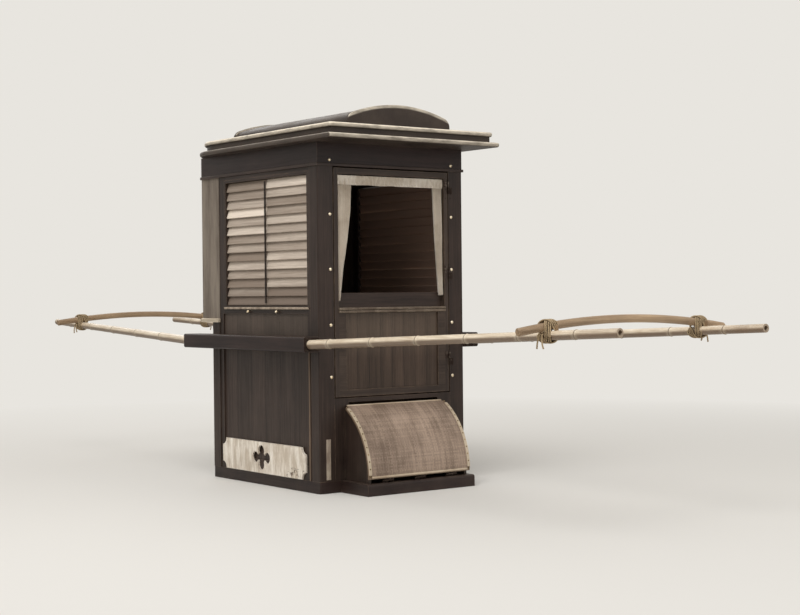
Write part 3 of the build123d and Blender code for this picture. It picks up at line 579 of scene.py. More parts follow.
@dataclass(frozen=True)
class SlatPaint(Finish):
    """Pale paint on the louvres: each slat has weathered to a tone of its own.

    Attributes:
        pale: The paint's tone.
        weathered: The tone of the most weathered slat.
        chip: Tone of the chipped edges.
        mud: Tone of the soiled lowest slats.
        inner: Tone of the painted shade on the faces that look into the cabin.
        foot: Height of the lowest slat's middle, less half a pitch.
        pitch: Distance between slats.
        middle: Distance of the slats from the cabin's middle.
        slope: Rise of a slat's face for each metre inwards.
        bar: Place of the tilt bar along Y.
        brightest_slat: Number, from the foot, of the slat whose rear half is set to the brightest tone.
        splashed: Number of slats that rain splashes, and how much it weathers the lowest.
        soiled: Number of slats that mud soils, and how far it hides the lowest.
        wear: The rubbed edges.
        dust: The dust on it.
    """

    pale: Tone = (238, 224, 208)
    weathered: Tone = (132, 116, 102)
    chip: Tone = (92, 76, 62)
    mud: Tone = (92, 77, 69)
    inner: Tone = (146, 120, 106)
    foot: float = 0.7943
    pitch: float = 0.03953
    middle: float = 0.371
    slope: float = 3.078
    bar: float = -0.0145
    brightest_slat: int = 10
    splashed: tuple[float, float] = (3.2, 0.8)
    soiled: tuple[float, float] = (2.6, 0.55)
    wear: Wear = Wear(0.002, 0.75, 45.0)
    dust: Dust = Dust(0.7, 0.5, (96, 82, 68), corner=0.02)
    roughness: float = 0.55
    relief: float = 0.0004

    def low_down(self, bench: Bench, z: Socket, slats: float, most: float) -> Socket:
        """Gives a value that falls from its most at the foot to 0 a number of slats higher."""
        return bench.remap(z, self.foot, self.foot + slats * self.pitch, most, 0.0)

    def own_tone(self, bench: Bench, place: Socket) -> Socket:
        """Gives each half slat a number of its own for its tone, lower on the splashed ones.

        Args:
            bench: The bench of its node tree.
            place: The place on the object.

        Returns:
            The number, up to 1.25 on that slat's rear half.
        """
        x, y, z = bench.parts(place)
        level = bench.times(bench.minus(bench.size(x), self.middle), self.slope)
        count = bench.floor(bench.minus(bench.plus(z, level), self.foot), self.pitch)
        rear = bench.above(y, self.bar)
        key = bench.vector(count, rear, bench.math("SIGN", x))
        own = bench.add("ShaderNodeTexWhiteNoise", {"Vector": key}, noise_dimensions="3D").outputs[0]
        # One half slat is set to the brightest tone.
        fresh = bench.times(bench.math("COMPARE", count, self.brightest_slat, 0.5), rear)
        slats, most = self.splashed
        own = bench.plus(own, self.low_down(bench, z, slats, -most))
        return bench.larger(own, bench.times(fresh, 1.25))

    def paint(self, bench: Bench, shader: bpy.types.Node) -> Socket:
        """Lays a tone for each half slat, streaks, chips along the edges, dust and painted shade on the inner
        faces.

        Args:
            bench: The bench of its node tree.
            shader: The material's shader.

        Returns:
            The finish's colour.
        """
        place = bench.place()
        x, _, z = bench.parts(place)
        way = GRAIN_WAYS[Lie.ALONG]
        grain = bench.group(effects.grain, {"Place": place, "Way": way, "Other Way": way}).outputs
        tone = bench.shares(self.own_tone(bench, place), 0.72, grain["Tone"], 0.34)
        colour = bench.between(bench.math("POWER", tone, 2.2, clamp=True), self.weathered, self.pale)
        colour = bench.cover(colour, self.low_down(bench, z, *self.soiled), self.mud)
        colour = bench.cover(colour, self.wear.mask(bench), self.chip)
        colour, _ = self.dust.lay(bench, colour)
        # Painted shade: faces that look into the cabin take a darker tone.
        inward_shade = bench.times(bench.math("SIGN", x), bench.facing()[0])
        self.bump(bench, shader, grain["Height"])
        return bench.cover(colour, bench.remap(inward_shade, -0.1, -0.4), self.inner)


@dataclass(frozen=True)
class WeatheredPaint(Finish):
    """Pale paint on a plate, a sill, a strip or the bay, with chips, stains and water marks.

    Attributes:
        pale: The paint's tone.
        stain: Tone of its stains.
        chip: Tone of the wood where it has chipped.
        chipped: How much of the paint is gone, 0 to 0.3.
        marks: Number of water marks for each metre along X, Y and Z.
        wear: The rubbed edges.
        dust: The dust on it.
    """

    pale: Tone = (248, 240, 228)
    stain: Tone = (204, 190, 172)
    chip: Tone = (110, 92, 76)
    chipped: float = 0.03
    marks: tuple[float, float, float] = (34, 34, 9)
    wear: Wear = Wear(0.004, 1.0, 30.0)
    dust: Dust = Dust(0.6, 0.6, (124, 106, 86), foot=0.6)
    roughness: float = 0.6
    relief: float = 0.0005

    def paint(self, bench: Bench, shader: bpy.types.Node) -> Socket:
        """Lays stains that run down, chips and worn edges.

        Args:
            bench: The bench of its node tree.
            shader: The material's shader.

        Returns:
            The finish's colour.
        """
        place = bench.place()
        runs = bench.streaks(place, self.marks, 6.0, 0.68)
        colour = bench.between(bench.remap(runs, 0.4, 0.62), self.stain, self.pale)
        fine = bench.cloud(place, 60.0, 6.0, 0.7)
        blot = bench.shares(fine, 0.5, bench.cloud(place, 7.0, 2.0), 0.5)
        gone = bench.remap(blot, 0.35 + self.chipped * 0.4, 0.34 + self.chipped * 0.4)
        bare = bench.larger(gone, self.wear.mask(bench))
        self.bump(bench, shader, bench.minus(bench.times(fine, 0.3), bare))
        return self.dust.lay(bench, bench.cover(colour, bare, self.chip))[0]


@dataclass(frozen=True)
class RoofPaint(Finish):
    """Dark oil paint on the roof, pale on faces that look out and on upper rims, partly as painted highlight.

    Attributes:
        body: Tone of the paint.
        deep: Tone of its dark blots.
        pale: Tone of the pale faces and of the painted highlight on the rims.
        front: How pale the faces that look forwards or back are, 0 to 1.
        side: How pale the faces that look sideways are, 0 to 1.
        rim: How pale the rounded upper edges are, as painted highlight, 0 to 1.
        crazing: How fine its cracks are.
        dust: The dust on it.
    """

    body: Tone = (68, 57, 49)
    deep: Tone = (46, 36, 31)
    pale: Tone = (234, 222, 202)
    front: float = 0.0
    side: float = 0.0
    rim: float = 0.0
    crazing: float = 95.0
    dust: Dust = Dust(0.8, 0.5, (120, 108, 94), foot=0.0)
    roughness: float = 0.5
    gloss: float = 0.05
    mirror: float = 0.25
    relief: float = 0.0004

    def pale_and_lit(self, bench: Bench, place: Socket) -> Socket:
        """Gives the mask of the pale faces and their painted highlight.

        Args:
            bench: The bench of its node tree.
            place: The place on the object.

        Returns:
            The mask, 0 to 1.
        """
        aside, _, up = bench.facing()
        # Partly painted highlight: faces that look out turn pale, most along their rounded upper edges.
        sideways = bench.remap(bench.size(aside), 0.45, 0.75)
        level = bench.plus(bench.times(sideways, self.side - self.front), self.front)
        edge = bench.times(bench.remap(up, 0.1, 0.5), bench.times(level, self.rim))
        mask = bench.times(bench.plus(level, edge), bench.remap(up, -0.95, -0.55))
        return bench.times(mask, bench.remap(up, 0.99, 0.9, 0.12, 1.0))

    def paint(self, bench: Bench, shader: bpy.types.Node) -> Socket:
        """Lays streaked paint, pale edges with painted highlight, cracks and dust.

        Args:
            bench: The bench of its node tree.
            shader: The material's shader.

        Returns:
            The finish's colour.
        """
        place = bench.place()
        blot = bench.remap(bench.cloud(place, 4.0, 5.0, 0.62), 0.36, 0.62)
        colour = bench.between(blot, self.deep, self.body)
        streaks = bench.streaks(place, (14, 14, 60), 5.0, 0.65)
        pale_and_lit = bench.times(self.pale_and_lit(bench, place), bench.remap(streaks, 0.34, 0.6, 0.5, 1.15), clamp=True)
        colour, dust = self.dust.lay(bench, bench.cover(colour, pale_and_lit, self.pale))
        rough = bench.plus(self.roughness, bench.times(dust, 0.3), clamp=True)
        bench.feed(shader.inputs["Roughness"], rough)
        cells = {"Vector": place, "Scale": self.crazing}
        crack = bench.add("ShaderNodeTexVoronoi", cells, feature="DISTANCE_TO_EDGE").outputs[0]
        self.bump(bench, shader, bench.plus(bench.remap(crack, 0.0, 0.05), streaks))
        return colour


@dataclass(frozen=True)
class CrownPaint(RoofPaint):
    """The vaulted crown's paint: only the arched edges of its end boards are pale, partly as painted
    highlight.

    Attributes:
        centre: Height of the arch's centre.
        reach: Distance from that centre at which the pale edge starts.
        soft: Half the width over which it starts.
    """

    centre: float = 0.9216
    reach: float = 0.7152
    soft: float = 0.003

    def pale_and_lit(self, bench: Bench, place: Socket) -> Socket:
        """Gives the mask of the end boards' arched edges.

        Args:
            bench: The bench of its node tree.
            place: The place on the object.

        Returns:
            The mask, 0 to 1.
        """
        x, _, z = bench.parts(place)
        # Partly painted highlight along the end boards' arched edges.
        away = bench.turn("LENGTH", bench.vector(x, bench.minus(z, self.centre)))
        band = bench.remap(away, self.reach - self.soft, self.reach + self.soft)
        ends = bench.remap(bench.size(bench.facing()[1]), 0.08, 0.25)
        return bench.times(bench.times(band, ends), self.front)


@dataclass(frozen=True)
class Bamboo(Finish):
    """Skin of a bamboo pole: long fibres, dark rings at its joints, hand-worn ends and painted shade
    underneath.

    Attributes:
        fresh: The skin's tone.
        aged: Its darker streaks.
        ring: Tone of the rings.
        bloom: Tone of the pale bloom beside each ring.
        under: Tone of the painted shade on the skin that looks down.
        handled: Tone of the skin where hands have held it.
        last: Place of the outermost joint, from the cabin's middle.
        step: Distance between joints.
        grip: Distances from the cabin's middle between which the hand marks grow.
        dust: The dust on it.
    """

    fresh: Tone = (236, 222, 200)
    aged: Tone = (190, 170, 144)
    ring: Tone = (92, 72, 54)
    bloom: Tone = (224, 212, 188)
    under: Tone = (112, 92, 74)
    handled: Tone = (118, 92, 68)
    last: float = 1.9827
    step: float = 0.27945
    grip: tuple[float, float] = (1.9, 2.06)
    dust: Dust = Dust(0.5, 0.35, (132, 116, 96), foot=0.0)
    roughness: float = 0.4
    gloss: float = 0.2
    relief: float = 0.0005

    def paint(self, bench: Bench, shader: bpy.types.Node) -> Socket:
        """Lays fibres, painted shade underneath, a ring with a pale bloom at each joint, and dark hand marks
        at the ends.

        Args:
            bench: The bench of its node tree.
            shader: The material's shader.

        Returns:
            The finish's colour.
        """
        place = bench.place()
        out = bench.size(bench.parts(place)[1])
        fibres = bench.streaks(place, (240, 7, 240), 4.0, 0.6)
        blot = bench.cloud(place, 7.0, 4.0, 0.6)
        tone = bench.remap(bench.shares(fibres, 0.6, blot, 0.4), 0.36, 0.62)
        colour = bench.between(tone, self.aged, self.fresh)
        # Painted shade: the skin turns darker where it looks down.
        colour = bench.cover(colour, bench.remap(bench.facing()[2], 0.32, -0.18, 0.0, 0.92), self.under)
        near = bench.math("PINGPONG", bench.minus(self.last, out), self.step / 2)
        colour = bench.cover(colour, bench.remap(near, 0.02, 0.004, 0.0, 0.25), self.bloom)
        colour = bench.cover(colour, bench.remap(near, 0.003, 0.0012, 0.0, 0.8), self.ring)
        hands = bench.times(bench.remap(out, *self.grip, 0.0, 0.55), bench.remap(blot, 0.34, 0.6))
        rough = bench.remap(fibres, 0.3, 0.7, self.roughness + 0.1, self.roughness)
        bench.feed(shader.inputs["Roughness"], rough)
        self.bump(bench, shader, fibres)
        return self.dust.lay(bench, bench.cover(colour, hands, self.handled))[0]


@dataclass(frozen=True)
class Cane(Finish):
    """Split cane: smooth skin with fine fibres; each strip has its own tone.

    Attributes:
        fresh: Tone of the palest strips.
        aged: Tone of the darkest strips.
        named: Name of the mesh attribute that numbers the strips, or nothing.
        streaked: Strength of the weather streaks that run down it, 0 to 1.
        dust: The dust on it.
    """

    fresh: Tone = (196, 174, 146)
    aged: Tone = (150, 126, 100)
    named: str = ""
    streaked: float = 0.0
    dust: Dust = Dust(0.75, 0.6, (98, 80, 62), corner=0.012)
    roughness: float = 0.55
    gloss: float = 0.08
    relief: float = 0.0002

    def paint(self, bench: Bench, shader: bpy.types.Node) -> Socket:
        """Lays a tone for each strip, stains, fibres and dust.

        Args:
            bench: The bench of its node tree.
            shader: The material's shader.

        Returns:
            The finish's colour.
        """
        place = bench.place()
        fibres = bench.cloud(place, 260.0, 3.0, 0.6)
        blot = bench.remap(bench.cloud(place, 6.0, 5.0, 0.62), 0.34, 0.66)
        tone = bench.shares(fibres, 0.3, blot, 0.5)
        if self.named:
            number = bench.add("ShaderNodeAttribute", attribute_name=self.named).outputs["Fac"]
            tone = bench.plus(tone, bench.times(number, 0.3))
        if self.streaked:
            streaks = bench.streaks(place, (75, 5, 5), 5.0, 0.65)
            tone = bench.plus(tone, bench.remap(streaks, 0.34, 0.66, -self.streaked, self.streaked))
        self.bump(bench, shader, fibres)
        return self.dust.lay(bench, bench.between(bench.remap(tone, 0.2, 1.0), self.aged, self.fresh))[0]


IRON_BRIGHT, IRON_DULL = (104, 94, 86), (58, 48, 43)
BRASS_BRIGHT, BRASS_DULL = (186, 160, 118), (92, 76, 54)


@dataclass(frozen=True)
class Metal(Finish):
    """Iron or brass with a dull skin in patches and bright rubbed edges.

    Attributes:
        bright: Tone of the rubbed metal.
        dull: Tone of its skin or rust.
        clean: How much of it is bright, 0 to 1.
        blacked: Place along X beyond which it is black iron, or none.
        wear: The rubbed edges.
    """

    bright: Tone = BRASS_BRIGHT
    dull: Tone = BRASS_DULL
    clean: float = 0.4
    blacked: float | None = None
    wear: Wear = Wear(0.0015, 0.9, 80.0)
    roughness: float = 0.36
    metal: float = 1.0

    def paint(self, bench: Bench, shader: bpy.types.Node) -> Socket:
        """Lays the dull skin in patches, rubbed edges and pits.

        Args:
            bench: The bench of its node tree.
            shader: The material's shader.

        Returns:
            The finish's colour.
        """
        place = bench.place()
        patch = bench.cloud(place, 90.0, 5.0, 0.65)
        low = 0.72 - 0.36 * self.clean
        shine = bench.larger(bench.remap(patch, low - 0.1, low + 0.06), self.wear.mask(bench))
        colour = bench.between(shine, self.dull, self.bright)
        if self.blacked is not None:
            beyond = bench.above(bench.parts(place)[0], self.blacked)
            colour = bench.blend(beyond, colour, bench.between(shine, IRON_DULL, IRON_BRIGHT))
        rough = bench.remap(shine, 0.0, 1.0, self.roughness + 0.28, self.roughness)
        bench.feed(shader.inputs["Roughness"], rough)
        self.bump(bench, shader, patch)
        return colour


@dataclass(frozen=True)
class Hemp(Finish):
    """Twisted hemp rope: hairy fibres, with painted shade between the strands.

    Attributes:
        fresh: The fibre's tone.
        aged: The tone of the painted shade between the strands.
        gap: How far that painted shade reaches out of the gap between strands.
    """

    fresh: Tone = (186, 164, 130)
    aged: Tone = (104, 84, 62)
    gap: float = 0.006
    roughness: float = 0.9
    relief: float = 0.0006

    def paint(self, bench: Bench, shader: bpy.types.Node) -> Socket:
        """Lays fibres, with painted shade between the strands.

        Args:
            bench: The bench of its node tree.
            shader: The material's shader.

        Returns:
            The finish's colour.
        """
        place = bench.place()
        hairs = bench.cloud(place, 420.0, 4.0, 0.7)
        fibre = bench.remap(bench.plus(hairs, bench.cloud(place, 30.0)), 0.7, 1.3, 0.45, 1.15)
        self.bump(bench, shader, hairs)
        # Painted shade: darker where the strands hide each other.
        outer = bench.remap(bench.openness(self.gap), 0.2, 0.9)
        return bench.between(bench.times(outer, fibre), self.aged, self.fresh)


@dataclass(frozen=True)
class Cloth(Finish):
    """Woven cloth on the piece's own map: threads, slubs, wash stains, painted shade in its folds and sheen.

    Attributes:
        fresh: Tone of the clean cloth.
        stain_and_fold_shade: Tone of its stains, also laid as painted shade in its folds.
        thread: Width of one thread, in metres.
        ribs: Distance between woven stripes, or 0 for plain cloth.
        rib_tone: Tone of the stripes.
        sheen: Strength of its sheen.
        fold: How far the shade of a fold reaches.
    """

    fresh: Tone = (236, 226, 212)
    stain_and_fold_shade: Tone = (202, 188, 170)
    thread: float = 0.0011
    ribs: float = 0.0
    rib_tone: Tone = (134, 104, 82)
    sheen: float = 0.25
    fold: float = 0.02
    roughness: float = 0.85

    def paint(self, bench: Bench, shader: bpy.types.Node) -> Socket:
        """Lays the weave with its stripes, stains and painted shade in its own folds.

        Args:
            bench: The bench of its node tree.
            shader: The material's shader.

        Returns:
            The finish's colour.
        """
        chart = bench.add("ShaderNodeTexCoord").outputs
        weave = bench.group(effects.weave, {"Map": chart["UV"], "Thread": self.thread}).outputs
        slubs = bench.streaks(chart["UV"], (900, 40, 1), 3.0)
        stain = bench.remap(bench.cloud(chart["Object"], 8.0, 5.0, 0.6), 0.36, 0.6)
        colour = bench.between(stain, self.stain_and_fold_shade, self.fresh)
        if self.ribs:
            near = bench.math("PINGPONG", bench.parts(chart["UV"])[0], self.ribs / 2)
            colour = bench.cover(colour, bench.remap(near, self.ribs * 0.16, self.ribs * 0.1), self.rib_tone)
        over = bench.remap(weave["Over"], 0.0, 1.0, 0.9, 1.0)
        colour = bench.tint(colour, bench.times(over, bench.remap(slubs, 0.3, 0.7, 0.92, 1.05)))
        shader.inputs["Sheen Weight"].default_value = self.sheen
        self.bump(bench, shader, weave["Height"])
        # Painted shade in the folds, laid in the stains' tone.
        shade = bench.remap(bench.openness(self.fold), 0.7, 0.2, 0.0, 0.5)
        return bench.cover(colour, shade, self.stain_and_fold_shade)


@dataclass(frozen=True)
class Ground(Finish):
    """The pale floor, which runs into the sky's tone far from the object.

    Attributes:
        tone: The floor's tone.
        sky: The sky's tone.
        near: Distance from the object up to which the floor keeps its own tone.
        far: Distance from which it has the sky's tone.
    """

    tone: Tone = (214, 211, 206)
    sky: Tone = (232, 229, 223)
    near: float = 1.5
    far: float = 5.5
    roughness: float = 0.9

    def paint(self, bench: Bench, shader: bpy.types.Node) -> Colour:
        """Gives the plain tone and, for the camera, blends the far floor into the sky.

        Args:
            bench: The bench of its node tree.
            shader: The material's shader.

        Returns:
            The finish's colour.
        """
        seen = bench.add("ShaderNodeLightPath").outputs["Is Camera Ray"]
        away = bench.turn("LENGTH", bench.place())
        share = bench.times(bench.remap(away, self.near, self.far), seen)
        glow = bench.add("ShaderNodeEmission", {"Color": linear(self.sky)}).outputs[0]
        both = bench.add("ShaderNodeMixShader", {0: share, 1: shader.outputs[0], 2: glow}).outputs[0]
        bench.feed(bench.tree.nodes["Material Output"].inputs["Surface"], both)
        return linear(self.tone)


BRASS = Metal("worn_brass")
STUD_BRASS = Metal("stud_brass", bright=(240, 226, 200), dull=BRASS_BRIGHT, clean=0.8, roughness=0.3)
DOOR_METAL = Metal("door_metal", blacked=0.27)
IRON = Metal("black_iron", bright=IRON_BRIGHT, dull=IRON_DULL, clean=0.2, roughness=0.5)
WHITE_COTTON = Cloth("white_cotton")
SEAT_CLOTH = Cloth("seat_cloth", fresh=(124, 100, 82), stain_and_fold_shade=(96, 76, 62), thread=0.0016, ribs=0.034,
                   rib_tone=(150, 126, 102))
FLOOR = Ground("studio_floor")


@dataclass
class Joinery:
    """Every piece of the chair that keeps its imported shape, each with its finish.

    Attributes:
        side_opening: Half the opening between a side's stiles, and its middle, along Y.
        door_opening: The same for the door, along X.
        foot_opening: The same for the frame under the door, along X.
        board: Width of the boards of the sides and the back.
        door_board: Width of the door's boards.
        floor_board: Width of the boards inside the cabin.
        bead: Place of the side panels' bead along Y.
    """

    side_opening: tuple[float, float] = (0.3335, -0.0145)
    door_opening: tuple[float, float] = (0.286, 0.0)
    foot_opening: tuple[float, float] = (0.24, 0.0)
    board: float = 0.118
    door_board: float = 0.062
    floor_board: float = 0.142
    bead: float = -0.363

    def finishes(self) -> dict[Finish, tuple[str, ...]]:
        """Gives each finish with the nodes that wear it.

        Returns:
            The finishes, each with the names of its nodes.
        """
        dark = {"body": (58, 45, 39), "deep": (35, 26, 22)}
        inner = {"body": (96, 76, 60), "deep": (66, 50, 39), "rubbed": (130, 106, 82), "gloss": 0.0,
                 "roughness": 0.62, "dusty": 0.6}
        side, front = self.side_opening, self.door_opening
        return {
            Wood("post_lacquer", **dark): ("corner_posts", "foot_cheeks"),
            Wood("side_frame_lacquer", lie=Lie.SIDE_FRAME, opening=side, **dark):
                ("side_frame_left", "side_frame_right", "shutter_frames"),
            # The side panels turn paler above the pole as painted light.
            Wood("side_board_lacquer", body=(71, 57, 50), deep=(47, 36, 31), board=self.board, board_way=1,
                 rubbing=0.35, pale_and_lit=(0.60, 0.68, 0.14), bead=self.bead): ("side_panels",),
            Wood("back_board_lacquer", board=self.board, rubbing=0.4, **dark): ("back_panel",),
            Wood("front_frame_lacquer", lie=Lie.FRONT_FRAME, opening=self.foot_opening, **dark):
                ("front_frame",),
            Wood("door_lacquer", lie=Lie.FRONT_FRAME, opening=front, body=(74, 61, 52), deep=(46, 36, 31),
                 rubbing=0.75): ("door_frame",),
            # The door panel turns paler towards the top as painted light.
            Wood("door_board_lacquer", body=(77, 62, 52), deep=(49, 38, 31), board=self.door_board,
                 pale_and_lit=(0.56, 0.68, 0.12)): ("door_panel",),
            # The mouldings' paler tone and fully rubbed pale edges are partly a painted highlight.
            Wood("moulding_lacquer_with_highlight", lie=Lie.ROUND, body=(102, 87, 75), deep=(70, 57, 48), rubbing=1.0,
                 rubbed=(200, 183, 158), edge=0.006): ("door_mouldings",),
            Wood("bead_lacquer", lie=Lie.ROUND, body=(66, 52, 46), deep=(42, 32, 28), rubbing=0.35):
                ("frieze_bead", "sash_rail"),
            # Darker than the other lacquer: partly painted shade, matched to the frieze under the eaves.
            Wood("round_lacquer_with_painted_shade", lie=Lie.ROUND, rubbing=0.45, body=(48, 33, 30), deep=(30, 21, 19)):
                ("base_frame", "frieze", "pole_housings", "foot_board"),
            Wood("bar_lacquer", body=(50, 40, 35), deep=(34, 27, 24), edge=0.001, rubbing=0.3):
                ("tilt_bars",),
            # The ledge's pale paint and rubbed edges are partly a painted highlight.
            Wood("ledge_paint_with_highlight", lie=Lie.ROUND, body=(206, 192, 170), deep=(164, 148, 126), rubbing=1.0,
                 rubbed=(244, 236, 218), edge=0.008): ("back_ledge",),
            Wood("bare_boards", lie=Lie.ACROSS, board=self.floor_board, board_way=1, **inner):
                ("floor_boards", "ceiling", "seat_board", "seat_front"),
            Wood("yoke_timber", lie=Lie.ACROSS, body=(176, 150, 120), deep=(128, 104, 80),
                 rubbed=(206, 184, 154), gloss=0.15, dusty=0.3): ("front_yoke", "rear_yoke"),
            Wood("peg_wood", body=(150, 124, 94), deep=(112, 88, 64), gloss=0.0): ("yoke_pegs",),
            SlatPaint("slat_paint"): ("louvre_slats_left", "louvre_slats_right"),
            WeatheredPaint("plate_paint", gloss=0.05): ("side_plates",),
            WeatheredPaint("sill_paint", pale=(178, 162, 144), stain=(124, 108, 94)): ("shutter_sills",),
            WeatheredPaint("bay_paint", pale=(132, 121, 109), stain=(98, 87, 77), chip=(74, 62, 53),
                           chipped=0.12, marks=(17, 17, 2.4)): ("back_bay",),
            # The roof's pale faces and upper rims are partly painted highlight.
            RoofPaint("roof_lip_paint", front=0.5, side=0.6, rim=1.0): ("roof_lip",),
            RoofPaint("roof_eave_paint", front=0.38, side=0.03, rim=0.8): ("roof_eave",),
            CrownPaint("roof_crown_paint", front=0.62): ("roof_crown",),
            RoofPaint("roof_cove_paint"): ("roof_cove",),
            Bamboo("pole_bamboo"): ("pole_left", "pole_right"),
            Cane("cane_sheet", aged=(112, 92, 74), fresh=(150, 128, 106)): ("apron_sheet",),
            Cane("cane_rim", aged=(178, 160, 136), fresh=(226, 212, 190)): ("apron_rim", "apron_batten"),
            BRASS: ("curtain_rod",),
            STUD_BRASS: ("shutter_knobs",),
            DOOR_METAL: ("door_fittings",),
            IRON: ("fixed_hinges", "apron_hinges", "pole_ferrules"),
        }

    def dress(self) -> None:
        """Gives every kept node its finish."""
        for finish, nodes in self.finishes().items():
            for name in nodes:
                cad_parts[name].material_slots[0].material = finish.material()
            log.info("finish %s on %s", finish.name, ", ".join(nodes))


def settle(piece: bpy.types.Object, finish: Finish, body: Body) -> bpy.types.Object:
    """Finishes a new piece and lets it ride on its body.

    Args:
        piece: The piece, already in place.
        finish: Its finish.
        body: The body that carries it.

    Returns:
        The piece.
    """
    piece.data.materials.clear()
    piece.data.materials.append(finish.material())
    piece.data.shade_smooth()
    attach(piece, body.value)
    log.info("piece %s on %s", piece.name, body.value)
    return piece


def stand(name: str, data: bpy.types.ID) -> bpy.types.Object:
    """Stands an object of some data at the origin and returns it.

    Args:
        name: The object's name.
        data: Its mesh, curve, camera or lamp.

    Returns:
        The object.
    """
    made = bpy.data.objects.new(name, data)
    bpy.context.scene.collection.objects.link(made)
    return made


def turn_out(shape: bmesh.types.BMesh, name: str) -> bpy.types.Object:
    """Writes a bmesh to a new object at the origin and returns it.

    Args:
        shape: The bmesh, which is freed.
        name: The piece's name.

    Returns:
        The piece.
    """
    mesh = bpy.data.meshes.new(name)
    shape.to_mesh(mesh)
    shape.free()
    return stand(name, mesh)


def worked_out(piece: bpy.types.Object) -> bpy.types.Mesh:
    """Gives the mesh of a piece with its modifiers or its curve's section worked out."""
    return bpy.data.meshes.new_from_object(piece.evaluated_get(bpy.context.evaluated_depsgraph_get()))


def drawn(curve: bpy.types.Curve, name: str) -> bpy.types.Object:
    """Turns a curve into a mesh piece at the origin and removes the curve.

    Args:
        curve: The curve.
        name: The piece's name.

    Returns:
        The piece.
    """
    line = stand(name + "_line", curve)
    mesh = worked_out(line)
    bpy.data.objects.remove(line)
    return stand(name, mesh)


def thicken(piece: bpy.types.Object, thickness: float, offset: float) -> bpy.types.Object:
    """Gives a sheet its thickness: evenly with an offset of 0, on its inner side with -1.

    Args:
        piece: The sheet.
        thickness: Its thickness.
        offset: 0 or -1.

    Returns:
        The sheet.
    """
    solid = piece.modifiers.new("thickness", "SOLIDIFY")
    solid.thickness = thickness
    solid.offset = offset
    return piece


def add_dome(shape: bmesh.types.BMesh, spot: Vector, out: Vector, radius: float, rise: float) -> None:
    """Adds a domed nail head with a thin rim.

    Args:
        shape: The bmesh that takes it.
        spot: The point on the surface.
        out: The surface's outward direction.
        radius: The head's radius.
        rise: How far the dome stands out.
    """
    turn = Matrix.Translation(spot) @ out.to_track_quat("Z", "Y").to_matrix().to_4x4()
    flat = Matrix.Diagonal((1.0, 1.0, rise / radius, 1.0))
    bmesh.ops.create_uvsphere(shape, u_segments=18, v_segments=10, radius=radius * 0.86, matrix=turn @ flat)
    bmesh.ops.create_cone(shape, cap_ends=True, segments=18, radius1=radius, radius2=radius * 0.9,
                          depth=rise * 0.4, matrix=turn @ Matrix.Translation((0, 0, rise * 0.2)))


def nail(name: str, heads: list[tuple[Vector, Vector]], size: tuple[float, float], finish: Finish,
         body: Body) -> bpy.types.Object:
    """Makes one piece of all the nail heads in a group.

    Args:
        name: The piece's name.
        heads: Each head's point on the surface and its outward direction.
        size: The heads' radius and how far they stand out.
        finish: Their finish.
        body: The body that carries them.

    Returns:
        The piece.
    """
    shape = bmesh.new()
    for spot, out in heads:
        add_dome(shape, spot, out, *size)
    return settle(turn_out(shape, name), finish, body)


FORWARD = Vector((0, -1, 0))


